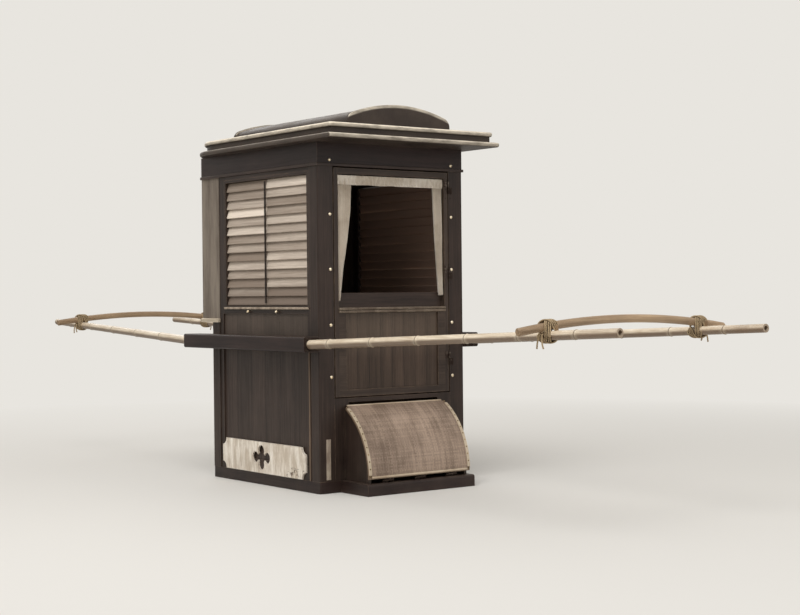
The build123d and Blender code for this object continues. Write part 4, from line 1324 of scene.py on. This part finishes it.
@dataclass
class SmallFittings:
    """Rubbing strips, studs, screws and rivets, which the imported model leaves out.

    Attributes:
        front: Place of the front face along Y.
        stud_x: Distance of the studs from the middle.
        stud_heights: Their heights on the right-hand post.
        low_stud: Height of the lowest stud on the hinge post, clear of its hinge.
        hinge_heights: Heights of the door's hinges.
        hinge_x: Place of the door's hinge line.
        leaf: Thickness of the hinges' leaves.
        strip: Half width, foot and top of the pale strips at the posts' feet.
        strip_x: Distance of the strips from the middle.
        strip_deep: Thickness of the strips.
        screw_rows: Height of each screw over its hinge's middle, and its distance from the hinge line.
        rivet_in: Distance of the pole's middle from a ferrule's outer end.
        rivet_off: Distances of the rivets from the pole's middle, along X and Z.
        stud, screw, rivet: Radius of each head, and how far it stands out.
    """

    front: float = -0.437
    stud_x: float = 0.327
    stud_heights: tuple[float, ...] = (1.406, 1.177, 0.944, 0.709, 0.489)
    low_stud: float = 0.472
    hinge_heights: tuple[float, ...] = (0.52, 0.9, 1.28)
    hinge_x: float = 0.3095
    leaf: float = 0.0016
    strip: tuple[float, float, float] = (0.0115, 0.057, 0.228)
    strip_x: float = 0.347
    strip_deep: float = 0.003
    screw_rows: tuple[tuple[float, float], ...] = ((-0.02, 0.0135), (0.0, 0.0185), (0.02, 0.0135))
    rivet_in: float = 0.036
    rivet_off: tuple[float, float] = (0.03, 0.022)
    stud: tuple[float, float] = (0.0074, 0.0042)
    screw: tuple[float, float] = (0.0026, 0.0011)
    rivet: tuple[float, float] = (0.0028, 0.0018)

    def strips(self) -> bpy.types.Object:
        """Makes the rubbing strip at the foot of each front post, with softened edges.

        Returns:
            The piece.
        """
        shape = bmesh.new()
        half, foot, top = self.strip
        for side in (-1, 1):
            middle = Vector((side * self.strip_x, self.front - self.strip_deep / 2, (foot + top) / 2))
            size = Matrix.Diagonal((2 * half, self.strip_deep, top - foot, 1.0))
            bmesh.ops.create_cube(shape, size=1.0, matrix=Matrix.Translation(middle) @ size)
        bmesh.ops.bevel(shape, geom=shape.edges[:], offset=0.0009, affect="EDGES", segments=2, profile=0.5,
                        material=-1)
        finish = WeatheredPaint("strip_paint", pale=(182, 168, 150), stain=(128, 112, 98), chip=(84, 70, 60),
                                chipped=0.2)
        return settle(turn_out(shape, "post_strips"), finish, Body.CABIN)

    def studs(self) -> bpy.types.Object:
        """Makes the ten studs beside the door.

        Returns:
            The piece.
        """
        heights = {-1: self.stud_heights, 1: (*self.stud_heights[:-1], self.low_stud)}
        heads = [(Vector((side * self.stud_x, self.front, height)), FORWARD)
                 for side in (-1, 1) for height in heights[side]]
        return nail("post_studs", heads, self.stud, STUD_BRASS, Body.CABIN)

    def screws(self, side: int, name: str, body: Body) -> bpy.types.Object:
        """Makes the screws of the hinge leaves on one side of the hinge line.

        Args:
            side: 1 for the post's leaves, -1 for the door's.
            name: The piece's name.
            body: The body that carries them.

        Returns:
            The piece.
        """
        heads = [(Vector((self.hinge_x + side * reach, self.front - self.leaf, height + step)), FORWARD)
                 for height in self.hinge_heights for step, reach in self.screw_rows]
        return nail(name, heads, self.screw, IRON, body)

    def ferrule_rivets(self) -> bpy.types.Object:
        """Makes four rivets round the pole's bore on the outer face of each ferrule.

        Returns:
            The piece.
        """
        low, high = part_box("pole_ferrules")
        middle, (across, up) = (low.z + high.z) / 2, self.rivet_off
        heads = [(Vector((side * (high.x - self.rivet_in + x), face, middle + z)), Vector((0, out, 0)))
                 for side in (-1, 1) for face, out in ((low.y, -1), (high.y, 1))
                 for z in (-up, up) for x in (-across, across)]
        return nail("ferrule_rivets", heads, self.rivet, IRON, Body.CABIN)

    def build(self) -> None:
        """Makes every small fitting of the cabin and the door."""
        self.strips()
        self.studs()
        self.screws(1, "post_hinge_screws", Body.CABIN)
        self.screws(-1, "door_hinge_screws", Body.DOOR)
        self.ferrule_rivets()


@dataclass
class CaneApron:
    """The woven cane that covers the curved apron, with its edge bindings and tacks.

    Attributes:
        radius: Radius of the apron's outer face.
        middle: Y and Z of the arc's centre.
        rise: Height of the apron's top above the centre.
        half: Half the woven width, up to the rims.
        corner: Radius of the top corners.
        corner_x: Distance of the corners' centres from the middle.
        pitch: Distance between strips.
        lift: Height of the woven sheet's middle above the panel.
        wave: How far the strips rise and dip.
        rim_x: Distance of the rims' middle from the chair's middle.
        rim_rise: How far the rims stand out.
        margin: Distance from the apron's foot to the weave's foot.
        wide: Half a strip's width, as a share of the pitch.
        crown: How far a strip's middle stands over its edges.
        bind: Half width, thickness and crown of a binding, and its place from the end of the weave.
        tack: Radius of a tack's head, and how far it stands out.
        tacks_a_side: Number of tacks on each rim.
        first_tack: Distance of the lowest tack from the apron's foot.
    """

    radius: float = 0.338198
    middle: tuple[float, float] = (-0.282802, 0.068)
    rise: float = 0.301
    half: float = 0.2562
    corner: float = 0.022
    corner_x: float = 0.248
    pitch: float = 0.0066
    lift: float = 0.0010
    wave: float = 0.0005
    rim_x: float = 0.263
    rim_rise: float = 0.0035
    margin: float = 0.004
    wide: float = 0.46
    crown: float = 0.00035
    bind: tuple[float, float, float, float] = (0.0045, 0.0012, 0.0008, 0.0075)
    tack: tuple[float, float] = (0.0034, 0.0017)
    tacks_a_side: int = 12
    first_tack: float = 0.012

    @property
    def sweep(self) -> float:
        """Length of the arc from its foot to its top edge."""
        return self.radius * math.asin(self.rise / self.radius)

    def place(self, x: float, run: float, lift: float) -> Vector:
        """Gives the point at a width, a length along the arc and a height above the panel.

        Args:
            x: Distance from the chair's middle.
            run: Length along the arc from its foot.
            lift: Height above the panel.

        Returns:
            The point.
        """
        angle = run / self.radius
        out = self.radius + lift
        return Vector((x, self.middle[0] - out * math.cos(angle), self.middle[1] + out * math.sin(angle)))

    def outward(self, run: float) -> Vector:
        """Gives the panel's outward direction at a length along the arc."""
        angle = run / self.radius
        return Vector((0, -math.cos(angle), math.sin(angle)))

    def cut_off(self, x: float, run: float) -> bool:
        """Tells whether a point lies outside a rounded top corner."""
        over, up = abs(x) - self.corner_x, run - (self.sweep - self.corner)
        return over > 0 and up > 0 and math.hypot(over, up) > self.corner - 0.0015

    def strip(self, shape: bmesh.types.BMesh, number: int, upright: bool, own: float) -> None:
        """Weaves one strip into the sheet.

        Args:
            shape: The bmesh that takes it.
            number: The strip's number from the left or from the foot.
            upright: True for a strip that runs up, False for one across.
            own: The strip's own tone, 0 to 1.
        """
        pale = shape.verts.layers.float["strip"]
        start, length = -self.half, 2 * self.half
        if upright:
            start, length = self.margin, self.sweep - 2.5 * self.margin
        cells = 2 * round(length / self.pitch)
        made = bmesh.ops.create_grid(shape, x_segments=2, y_segments=cells, size=1.0)["verts"]
        for vert in made:
            across, along = vert.co.x * self.pitch * self.wide, start + (vert.co.y + 1) / 2 * length
            centre = (number + 0.5) * self.pitch + (-self.half if upright else self.margin)
            phase = math.sin(math.pi * ((along - start) / self.pitch + number + (0 if upright else 1)))
            lift = self.lift + self.wave * phase + self.crown * (1 - vert.co.x**2)
            x, run = (centre + across, along) if upright else (along, centre + across)
            vert[pale] = own
            vert.co = self.place(x, run, lift)
            vert.tag = self.cut_off(x, run)
        bmesh.ops.delete(shape, geom=[v for v in made if v.tag], context="VERTS")

    def weave(self) -> bpy.types.Object:
        """Weaves the whole sheet.

        Returns:
            The piece.
        """
        shape = bmesh.new()
        shape.verts.layers.float.new("strip")
        chance = random.Random(11)
        for number in range(int(2 * self.half / self.pitch)):
            self.strip(shape, number, True, chance.random())
        for number in range(int((self.sweep - 3 * self.margin) / self.pitch)):
            self.strip(shape, number, False, chance.random())
        bmesh.ops.recalc_face_normals(shape, faces=shape.faces)
        finish = Cane("cane_weave", named="strip", streaked=0.16, fresh=(172, 150, 132), aged=(110, 92, 78))
        return settle(turn_out(shape, "apron_weave"), finish, Body.APRON)

    def binding(self, run: float, name: str) -> bpy.types.Object:
        """Makes a flat cane strip that binds the sheet's foot or top edge.

        Args:
            run: Length along the arc to the binding's middle.
            name: The piece's name.

        Returns:
            The piece.
        """
        shape = bmesh.new()
        made = bmesh.ops.create_grid(shape, x_segments=60, y_segments=4, size=1.0)["verts"]
        reach = self.corner_x + 0.006 if run > self.sweep / 2 else self.half
        half, thick, crown, _ = self.bind
        for vert in made:
            lift = self.lift + self.wave + thick - crown * vert.co.y**2
            vert.co = self.place(vert.co.x * reach, run + vert.co.y * half, lift)
        bmesh.ops.recalc_face_normals(shape, faces=shape.faces)
        finish = Cane("cane_binding", aged=(176, 156, 132), fresh=(226, 210, 186))
        return settle(thicken(turn_out(shape, name), thick, -1), finish, Body.APRON)

    def tacks(self) -> bpy.types.Object:
        """Makes the tacks along both rims.

        Returns:
            The piece.
        """
        span, gaps = self.sweep - self.corner - self.first_tack, self.tacks_a_side - 1
        runs = [self.first_tack + span * number / gaps for number in range(gaps + 1)]
        heads = [(self.place(side * self.rim_x, run, self.rim_rise), self.outward(run))
                 for side in (-1, 1) for run in runs]
        return nail("apron_tacks", heads, self.tack, BRASS, Body.APRON)

    def build(self) -> None:
        """Makes the weave, its bindings and the tacks."""
        self.weave()
        self.binding(self.bind[-1], "apron_foot_binding")
        self.binding(self.sweep - self.bind[-1], "apron_top_binding")
        self.tacks()


Widths = tuple[tuple[float, float], ...]


@dataclass
class Curtains:
    """The white valance and the two tied drapes behind the door's window.

    Attributes:
        edge: Distance of the window's jambs from the middle.
        depth: Place of the curtain rod along Y.
        rod: Height of the rod.
        valance_foot: Height of the valance's lower edge.
        folds: Folds in each drape.
        fold_cloth: Width of flat cloth in each fold.
        pleats: Pleats in the valance.
        valance_cloth: Width of the valance's flat cloth.
        thickness: Thickness of the cloth.
        over_rod: How far the valance's cloth stands over the rod's middle and in front of it.
        near: Heights on the right-hand drape, each with its width there.
        far: The same for the left-hand drape.
    """

    edge: float = 0.2845
    depth: float = -0.424
    rod: float = 1.341
    valance_foot: float = 1.304
    folds: int = 7
    fold_cloth: float = 0.030
    pleats: int = 26
    valance_cloth: float = 0.64
    thickness: float = 0.0006
    over_rod: float = 0.0035
    near: Widths = ((1.332, 0.076), (1.20, 0.072), (1.08, 0.055), (0.95, 0.029), (0.81, 0.011))
    far: Widths = ((1.332, 0.058), (1.20, 0.052), (1.08, 0.044), (0.95, 0.034), (0.83, 0.022))

    def width(self, table: Widths, height: float) -> float:
        """Reads a drape's width at a height from its table.

        Args:
            table: Heights, each with the width there.
            height: The height.

        Returns:
            The width.
        """
        for (top, wide), (foot, slim) in zip(table, table[1:]):
            if height >= foot:
                share = (height - foot) / (top - foot)
                return slim + (wide - slim) * max(0.0, min(1.0, share))
        return table[-1][1]

    def cloth(self, columns: int, rows: int, flat: tuple[float, float]) -> bmesh.types.BMesh:
        """Cuts a flat cloth, a square of side 1 about the origin whose map has the real size.

        Args:
            columns: Cells across.
            rows: Cells down.
            flat: Width and length of the real cloth.

        Returns:
            The cloth.
        """
        shape = bmesh.new()
        shape.loops.layers.uv.new("UVMap")
        bmesh.ops.create_grid(shape, x_segments=columns, y_segments=rows, size=0.5, calc_uvs=True)
        chart = shape.loops.layers.uv["UVMap"]
        for loop in (loop for face in shape.faces for loop in face.loops):
            across, up = loop.vert.co.x + 0.5, loop.vert.co.y + 0.5
            loop[chart].uv = (across * flat[0], up * flat[1])
        return shape

    def hang(self, shape: bmesh.types.BMesh, name: str, node: str) -> bpy.types.Object:
        """Gives a folded cloth its thickness and hangs it on the rod.

        Args:
            shape: The folded cloth.
            name: The piece's name.
            node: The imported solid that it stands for.

        Returns:
            The piece.
        """
        piece = thicken(turn_out(shape, name), self.thickness, 0)
        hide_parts(node)
        return settle(piece, WHITE_COTTON, Body.DOOR)

    def drape(self, side: int, table: Widths, name: str) -> bpy.types.Object:
        """Hangs one drape: deep soft folds on the rod that run together towards its tied foot.

        Args:
            side: -1 for the chair's right, 1 for its left.
            table: Widths at heights.
            name: The piece's name.

        Returns:
            The piece.
        """
        top, foot = table[0][0], table[-1][0]
        flat = (self.fold_cloth * self.folds, top - foot)
        shape = self.cloth(self.folds * 16, 90, flat)
        for vert in shape.verts:
            across, height = vert.co.x + 0.5, foot + (vert.co.y + 0.5) * (top - foot)
            down = (top - height) / (top - foot)
            sway = 0.35 * noise.noise(Vector((across * 2.2, down * 1.6, side * 9.0)))
            phase = 2 * math.pi * (self.folds * across + sway)
            deep = 0.0062 + 0.0018 * noise.noise(Vector((across * 5, down * 2.5, side * 4.0)))
            uneven = 0.05 * math.sin(5 * down) * noise.noise(Vector((down * 3, side, 1)))
            wide = self.width(table, height) * (1 + uneven)
            crease = 0.0016 * noise.noise(Vector((across * 9, down * 22, side * 2.0))) * down
            lean = 0.16 / self.folds * math.sin(2 * phase)
            x = side * (self.edge - wide * (across + lean))
            vert.co = Vector((x, self.depth + deep * math.sin(phase) + crease, height))
        bmesh.ops.smooth_vert(shape, verts=shape.verts, factor=0.3, use_axis_x=True, use_axis_y=True)
        return self.hang(shape, name, "curtain_drapes")

    def valance(self) -> bpy.types.Object:
        """Hangs the valance: small pleats that open towards a hemmed lower edge.

        Returns:
            The piece.
        """
        top, foot, over_top = self.rod + self.over_rod, self.valance_foot, 0.004
        flat = (self.valance_cloth, top - foot + over_top)
        shape = self.cloth(self.pleats * 12, 22, flat)
        for vert in shape.verts:
            across, share = vert.co.x + 0.5, 0.5 - vert.co.y
            sway = 0.8 * noise.noise(Vector((across * 12, share * 1.2, 3.0)))
            phase = 2 * math.pi * (self.pleats * across + sway)
            deep = 0.0012 + 0.0016 * share + 0.0008 * noise.noise(Vector((across * 30, share, 7.0)))
            over = 0.0045 * math.sqrt(max(0.0, 1 - (share / 0.16 - 1) ** 2)) if share < 0.16 else 0.0045
            sag = 0.0016 * noise.noise(Vector((across * 9, 2.0, 5.0))) * share
            x = (across * 2 - 1) * self.edge
            y = self.depth - self.over_rod - over * 0.4 - deep * math.sin(phase)
            vert.co = Vector((x, y, top - share * (top - foot) + sag))
        return self.hang(shape, "window_valance", "curtain_valance")

    def build(self) -> None:
        """Hangs both drapes and the valance."""
        self.drape(-1, self.near, "near_drape")
        self.drape(1, self.far, "far_drape")
        self.valance()


@dataclass
class Cushion:
    """A stuffed cushion of the seat, swollen by a cloth simulation, with piped seams.

    Attributes:
        node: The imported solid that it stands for.
        rests: The way that it leans on what carries it: down for the seat, back for the backrest.
        inset: How much smaller than that solid it starts.
        corner: Radius of the starting shape's edges.
        cell: Distance between the points of its skin.
        cap: How far a point may swell.
        waist: How far its sides pull in between the corners.
        pressure: Pressure of the stuffing in the simulation.
        frames: Steps of the simulation.
        seam: Distance of the piped seams from the faces.
        pipe: Radius of the piping.
        seam_points: Points of the skin that each seam follows.
    """

    node: str
    rests: Vector
    inset: float = 0.007
    corner: float = 0.012
    cell: float = 0.0075
    cap: float = 0.016
    waist: float = 0.006
    pressure: float = 4.0
    frames: int = 20
    seam: float = 0.011
    pipe: float = 0.0026
    seam_points: int = 160

    def measures(self) -> tuple[Vector, Vector, int, list[int]]:
        """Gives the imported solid's middle and size, its thin axis and its two wide ones.

        Returns:
            The middle, the size, the thin axis and the wide axes.
        """
        low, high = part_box(self.node)
        size = high - low
        thin = min(range(3), key=lambda axis: size[axis])
        return (low + high) / 2, size, thin, [axis for axis in range(3) if axis != thin]

    def block(self) -> bpy.types.Object:
        """Cuts the starting shape: a rounded block whose sides pull in between the corners.

        Returns:
            The piece.
        """
        middle, packed, _, wide = self.measures()
        size = packed - Vector((2 * self.inset,) * 3)
        shape = bmesh.new()
        stretch = Matrix.Translation(middle) @ Matrix.Diagonal((*size, 1.0))
        bmesh.ops.create_cube(shape, size=1.0, matrix=stretch)
        bmesh.ops.bevel(shape, geom=shape.edges[:], offset=self.corner, affect="EDGES", segments=4,
                        profile=0.5, material=-1)
        bmesh.ops.subdivide_edges(shape, edges=shape.edges[:], cuts=6, use_grid_fill=True)
        for vert in shape.verts:
            off = vert.co - middle
            for axis, other in (wide, wide[::-1]):
                share = 1 - (2 * off[other] / size[other]) ** 2
                off[axis] -= self.waist * max(0.0, share) * (2 * off[axis] / size[axis])
            vert.co = middle + off
        return turn_out(shape, self.node + "_cloth")

    def applied(self, piece: bpy.types.Object) -> None:
        """Applies the piece's modifiers to its mesh.

        Args:
            piece: The piece.
        """
        mesh = worked_out(piece)
        piece.modifiers.clear()
        piece.data = mesh

    def swell(self, piece: bpy.types.Object) -> None:
        """Blows the block up as stuffing does, within the cap, and keeps its resting face flat.

        Args:
            piece: The cushion.
        """
        start = [v.co.copy() for v in piece.data.vertices]
        cloth = piece.modifiers.new("stuffing", "CLOTH")
        cloth.settings.use_pressure = True
        cloth.settings.uniform_pressure_force = self.pressure
        cloth.settings.effector_weights.gravity = 0.0
        cloth.settings.quality = 5
        cloth.point_cache.frame_end = self.frames
        for step in range(1, self.frames + 1):
            bpy.context.scene.frame_set(step)
        self.applied(piece)
        bpy.context.scene.frame_set(1)
        low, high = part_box(self.node)
        way, sense = Vector([abs(c) for c in self.rests]), sum(self.rests)
        foot = (low if sense < 0 else high).dot(way)
        for vert, old in zip(piece.data.vertices, start):
            moved = vert.co - old
            vert.co = old + moved * min(1.0, self.cap / max(moved.length, 1e-6))
            over = vert.co.dot(way) - foot
            if over * sense > 0:
                vert.co -= over * way

    def chart(self, piece: bpy.types.Object) -> None:
        """Gives the mesh a map in metres, laid on each face from the side that it looks to.

        Args:
            piece: The cushion.
        """
        mesh = piece.data
        layer = mesh.uv_layers.new(name="UVMap")
        for face in mesh.polygons:
            away = max(range(3), key=lambda axis: abs(face.normal[axis]))
            across, down = [axis for axis in range(3) if axis != away]
            for corner in face.loop_indices:
                co = mesh.vertices[mesh.loops[corner].vertex_index].co
                layer.data[corner].uv = (co[across], co[down])

    def piping(self, piece: bpy.types.Object) -> bpy.types.Object:
        """Lays a round piped seam round the cushion near each of its two faces.

        Args:
            piece: The cushion.

        Returns:
            The piping.
        """
        mesh = piece.data
        tree = BVHTree.FromPolygons([v.co for v in mesh.vertices], [p.vertices for p in mesh.polygons])
        middle, size, thin, (first, second) = self.measures()
        curve = bpy.data.curves.new("piping", "CURVE")
        curve.dimensions = "3D"
        curve.bevel_depth = self.pipe
        curve.bevel_resolution = 3
        for side in (-1, 1):
            level = middle[thin] + side * (size[thin] / 2 - self.seam)
            spots = []
            for step in range(self.seam_points):
                angle = 2 * math.pi * step / self.seam_points
                aim = Vector((0, 0, 0))
                aim[first], aim[second] = math.cos(angle) * size[first], math.sin(angle) * size[second]
                centre = middle.copy()
                centre[thin] = level
                hit = tree.ray_cast(centre + aim, -aim.normalized())[0]
                if hit is not None:
                    spots.append(hit)
            line = curve.splines.new("POLY")
            line.points.add(len(spots) - 1)
            for point, spot in zip(line.points, spots):
                point.co = (*spot, 1.0)
            line.use_cyclic_u = True
        finish = Hemp("piping_cord", fresh=(160, 136, 112), aged=(112, 90, 72))
        return settle(drawn(curve, self.node + "_piping"), finish, Body.CABIN)

    def build(self) -> None:
        """Makes the cushion and its piping."""
        piece = self.block()
        remesh = piece.modifiers.new("skin", "REMESH")
        remesh.mode = "VOXEL"
        remesh.voxel_size = self.cell
        self.applied(piece)
        self.swell(piece)
        self.chart(piece)
        self.piping(piece)
        soft = piece.modifiers.new("smooth", "SUBSURF")
        soft.levels = soft.render_levels = 1
        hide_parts(self.node)
        settle(piece, SEAT_CLOTH, Body.CABIN)


@dataclass
class YokeLashings:
    """Hemp rope that binds the two yokes to the poles: crossed turns and a knot.

    Attributes:
        mouths: Place along Y where each stretch of pole starts, front and rear.
        mouth: X and Z of the pole there.
        tip: X, Y and Z of the pole's tips.
        crossing: Place of the yokes along Y.
        poles: Radius of the poles at the front and the rear crossing.
        yoke: Radius of the yokes.
        rope: Radius of the rope.
        turns: Turns each way.
        spacing: Distance between neighbouring turns, in radii of the rope.
        layer: How much further out the second layer lies, in radii of the rope.
        twist: Length of one twist of the strands, in radii of the rope.
        slant: Width of a bar where a turn crosses it at an eighth of a circle, in widths of the bar.
        knot_at: Place of the knot's middle beside the pole and over its axis.
        knot_size: Scale of the knot.
        tail: Length of the shortest tail, and how much longer one may be.
    """

    mouths: tuple[float, float] = (0.455, 0.580)
    mouth: tuple[float, float] = (0.440, 0.630)
    tip: tuple[float, float, float] = (0.366, 2.18, 0.702)
    crossing: float = 1.843
    poles: tuple[float, float] = (0.016583, 0.0167)
    yoke: float = 0.015
    rope: float = 0.0031
    turns: int = 4
    spacing: float = 2.1
    layer: float = 1.7
    twist: float = 6.5
    slant: float = 1.414
    knot_at: tuple[float, float] = (0.0285, 0.014)
    knot_size: float = 0.0030
    tail: tuple[float, float] = (0.042, 0.014)

    def section(self) -> bpy.types.Object:
        """Draws the rope's section: three strands.

        Returns:
            The section's object.
        """
        curve = bpy.data.curves.new("strands", "CURVE")
        line = curve.splines.new("POLY")
        line.points.add(11)
        for step, point in enumerate(line.points):
            angle = 2 * math.pi * step / 12
            reach = self.rope * (0.8 + 0.26 * abs(math.cos(1.5 * angle)))
            point.co = (reach * math.cos(angle), reach * math.sin(angle), 0.0, 1.0)
        line.use_cyclic_u = True
        return stand("strands", curve)

    def lay(self, curve: bpy.types.Curve, spots: list[Vector], closed: bool) -> None:
        """Lays one run of twisted rope along points.

        Args:
            curve: The curve that takes it.
            spots: The points.
            closed: True for a turn that meets itself.
        """
        length = sum((b - a).length for a, b in zip(spots, spots[1:]))
        whole = max(1, round(length / (self.twist * self.rope)))
        line = curve.splines.new("POLY")
        line.points.add(len(spots) - 1)
        for step, (point, spot) in enumerate(zip(line.points, spots)):
            point.co = (*spot, 1.0)
            point.tilt = 2 * math.pi * whole * step / len(spots)
        line.use_cyclic_u = closed

    def turn(self, spot: Vector, pole: float, bearing: float, shift: float, extra: float) -> list[Vector]:
        """Works out one turn round the pole and the yoke that lies on it.

        Args:
            spot: The pole's axis at the crossing.
            pole: The pole's radius there.
            bearing: The turn's bearing, near an eighth of a circle from both bars.
            shift: Distance of the turn from the crossing.
            extra: How much further out it lies, over the turns laid before.

        Returns:
            The turn's points.
        """
        way = Vector((math.cos(bearing), math.sin(bearing), 0))
        beside = Vector((-way.y, way.x, 0))
        rise = pole + self.yoke + 0.0004
        low_off, high_off = shift * way.y / way.x, -shift * way.x / way.y
        spots = []
        for step in range(64):
            angle = 2 * math.pi * step / 64
            under = math.sin(angle) < 0
            bar, height, off = (pole, 0.0, low_off) if under else (self.yoke, rise, high_off)
            wide = bar * self.slant + self.rope + extra * 0.3
            tall = bar + self.rope + extra
            along = off * 0.9 + wide * math.cos(angle)
            up = Vector((0, 0, height + tall * math.sin(angle)))
            spots.append(spot + way * along + beside * shift + up)
        return spots

    def knot(self, curve: bpy.types.Curve, spot: Vector, side: int, chance: random.Random) -> None:
        """Ties an overhand knot at the side of a lashing, with two short tails that hang down.

        Args:
            curve: The curve that takes it.
            spot: The pole's axis at the crossing.
            side: The way that the knot looks, -1 or 1 along X.
            chance: Where the tails' lengths are drawn from.
        """
        out, up = self.knot_at
        centre, size = spot + Vector((side * out, 0.0, up)), self.knot_size
        spots = []
        for step in range(49):
            angle = 2 * math.pi * step / 48
            x = math.sin(angle) + 2 * math.sin(2 * angle)
            y = math.cos(angle) - 2 * math.cos(2 * angle)
            z = -math.sin(3 * angle)
            spots.append(centre + Vector((side * z * size * 1.3, x * size, y * size)))
        self.lay(curve, spots[:-1], True)
        for tail in (-1, 1):
            end = centre + Vector((side * 0.004, tail * 0.007, -0.006))
            length = self.tail[0] + self.tail[1] * chance.random()
            spots = []
            for step in range(14):
                share = step / 13
                swing, drift = side * 0.006 * math.sin(2.4 * share), tail * 0.010 * share**1.4
                spots.append(end + Vector((swing, drift, -length * share)))
            self.lay(curve, spots, False)

    def bind(self, end: int, name: str) -> bpy.types.Object:
        """Binds one yoke at both of its crossings.

        Args:
            end: -1 for the front yoke, 1 for the rear one.
            name: The piece's name.

        Returns:
            The piece.
        """
        start, pole = (pair[0 if end < 0 else 1] for pair in (self.mouths, self.poles))
        share = (self.crossing - start) / (self.tip[1] - start)
        spot = Vector((self.mouth[0] + (self.tip[0] - self.mouth[0]) * share, end * self.crossing,
                       self.mouth[1] + (self.tip[2] - self.mouth[1]) * share))
        strands = self.section()
        curve = bpy.data.curves.new(name, "CURVE")
        curve.dimensions = "3D"
        curve.bevel_mode = "OBJECT"
        curve.bevel_object = strands
        curve.use_fill_caps = True
        chance = random.Random(5 + end)
        for side in (-1, 1):
            place = Vector((side * spot.x, spot.y, spot.z))
            for layer, way in enumerate((1, -1)):
                for number in range(self.turns):
                    shift = (number - (self.turns - 1) / 2) * self.rope * self.spacing
                    bearing = way * (math.pi / 4 + chance.uniform(-0.05, 0.05))
                    extra = layer * self.rope * self.layer + chance.uniform(0, 0.0005)
                    self.lay(curve, self.turn(place, pole, bearing, shift, extra), True)
            self.knot(curve, place, side, chance)
        piece = drawn(curve, name)
        bpy.data.objects.remove(strands)
        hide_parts("yoke_lashings")
        return settle(piece, Hemp("hemp_rope"), Body.CABIN)

    def build(self) -> None:
        """Binds both yokes."""
        self.bind(-1, "front_lashings")
        self.bind(1, "rear_lashings")


@dataclass
class Studio:
    """The pale floor, the soft lamps and the camera that stands where the photographer stood.

    Attributes:
        eye: The camera's place.
        forward: The way that it looked in the photograph.
        right: Its right-hand side.
        down: Its foot side.
        aim: The object's middle in the photograph, from the picture's centre, in focal lengths.
        film: Width of the picture, in millimetres.
        lens: Focal length that lets the object fill that width, in millimetres.
        look: The point that the lamps look at.
        ambient: Strength of the sky's light on the object.
    """

    eye: tuple[float, float, float] = (-4.0351, -5.8439, 0.8387)
    forward: tuple[float, float, float] = (0.43307, 0.90044, 0.04076)
    right: tuple[float, float, float] = (0.90122, -0.43336, -0.00195)
    down: tuple[float, float, float] = (0.01590, 0.03758, -0.99917)
    aim: tuple[float, float] = (0.2002, 0.0495)
    film: float = 36.0
    lens: float = 70.0
    look: tuple[float, float, float] = (0, 0, 0.8)
    ambient: float = 0.62

    def camera(self) -> None:
        """Places the camera and turns it to the object's middle."""
        forward, right, down = Vector(self.forward), Vector(self.right), Vector(self.down)
        ahead = (forward + right * self.aim[0] + down * self.aim[1]).normalized()
        across = ahead.cross(-down).normalized()
        up = across.cross(ahead).normalized()
        data = bpy.data.cameras.new("camera")
        data.lens = self.lens
        data.sensor_width = self.film
        camera = stand("camera", data)
        turn = Matrix((across, up, -ahead)).transposed().to_4x4()
        camera.matrix_world = Matrix.Translation(Vector(self.eye)) @ turn
        bpy.context.scene.camera = camera

    def lamp(self, name: str, spot: tuple[float, float, float], size: float, power: float) -> None:
        """Hangs a square soft lamp that looks at the cabin's middle.

        Args:
            name: The lamp's name.
            spot: Its place.
            size: Its side.
            power: Its power, in watts.
        """
        data = bpy.data.lights.new(name, "AREA")
        data.size = size
        data.energy = power
        look = (Vector(self.look) - Vector(spot)).to_track_quat("-Z", "Y")
        stand(name, data).matrix_world = Matrix.Translation(Vector(spot)) @ look.to_matrix().to_4x4()

    def sky(self) -> None:
        """Sets a plain soft sky, pale where it is seen or mirrored."""
        world = bpy.data.worlds.new("sky")
        world.use_nodes = True
        bench = Bench(world.node_tree)
        back = world.node_tree.nodes["Background"]
        path = bench.add("ShaderNodeLightPath").outputs
        seen = bench.larger(path["Is Camera Ray"], path["Is Glossy Ray"])
        seen = bench.larger(seen, path["Is Transmission Ray"])
        back.inputs["Color"].default_value = linear(FLOOR.sky)
        bench.feed(back.inputs["Strength"], bench.remap(seen, 0.0, 1.0, self.ambient, 1.0))
        bpy.context.scene.world = world

    def build(self) -> None:
        """Lays the floor, hangs the lamps and places the camera."""
        shape = bmesh.new()
        bmesh.ops.create_circle(shape, cap_ends=True, segments=96, radius=60.0)
        floor = turn_out(shape, "floor")
        floor.data.materials.append(FLOOR.material())
        floor.location.z = -0.0005
        self.sky()
        self.lamp("key_lamp", (-3.2, -2.6, 6.2), 4.0, 330.0)
        self.lamp("fill_lamp", (1.6, -6.5, 2.8), 4.0, 60.0)
        self.lamp("back_lamp", (1.5, 5.0, 4.0), 4.0, 90.0)
        self.camera()
        bpy.context.scene.view_settings.view_transform = "Standard"


def main() -> None:
    """Builds the studio, dresses the kept pieces and adds the new ones, in order."""
    logging.basicConfig(level=logging.INFO, format="%(name)s: %(message)s")
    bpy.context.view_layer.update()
    Studio().build()
    Joinery().dress()
    SmallFittings().build()
    CaneApron().build()
    Curtains().build()
    Cushion("seat_cushion", rests=Vector((0, 0, -1))).build()
    Cushion("back_cushion", rests=Vector((0, 1, 0))).build()
    YokeLashings().build()


if __name__ == "__main__":
    main()
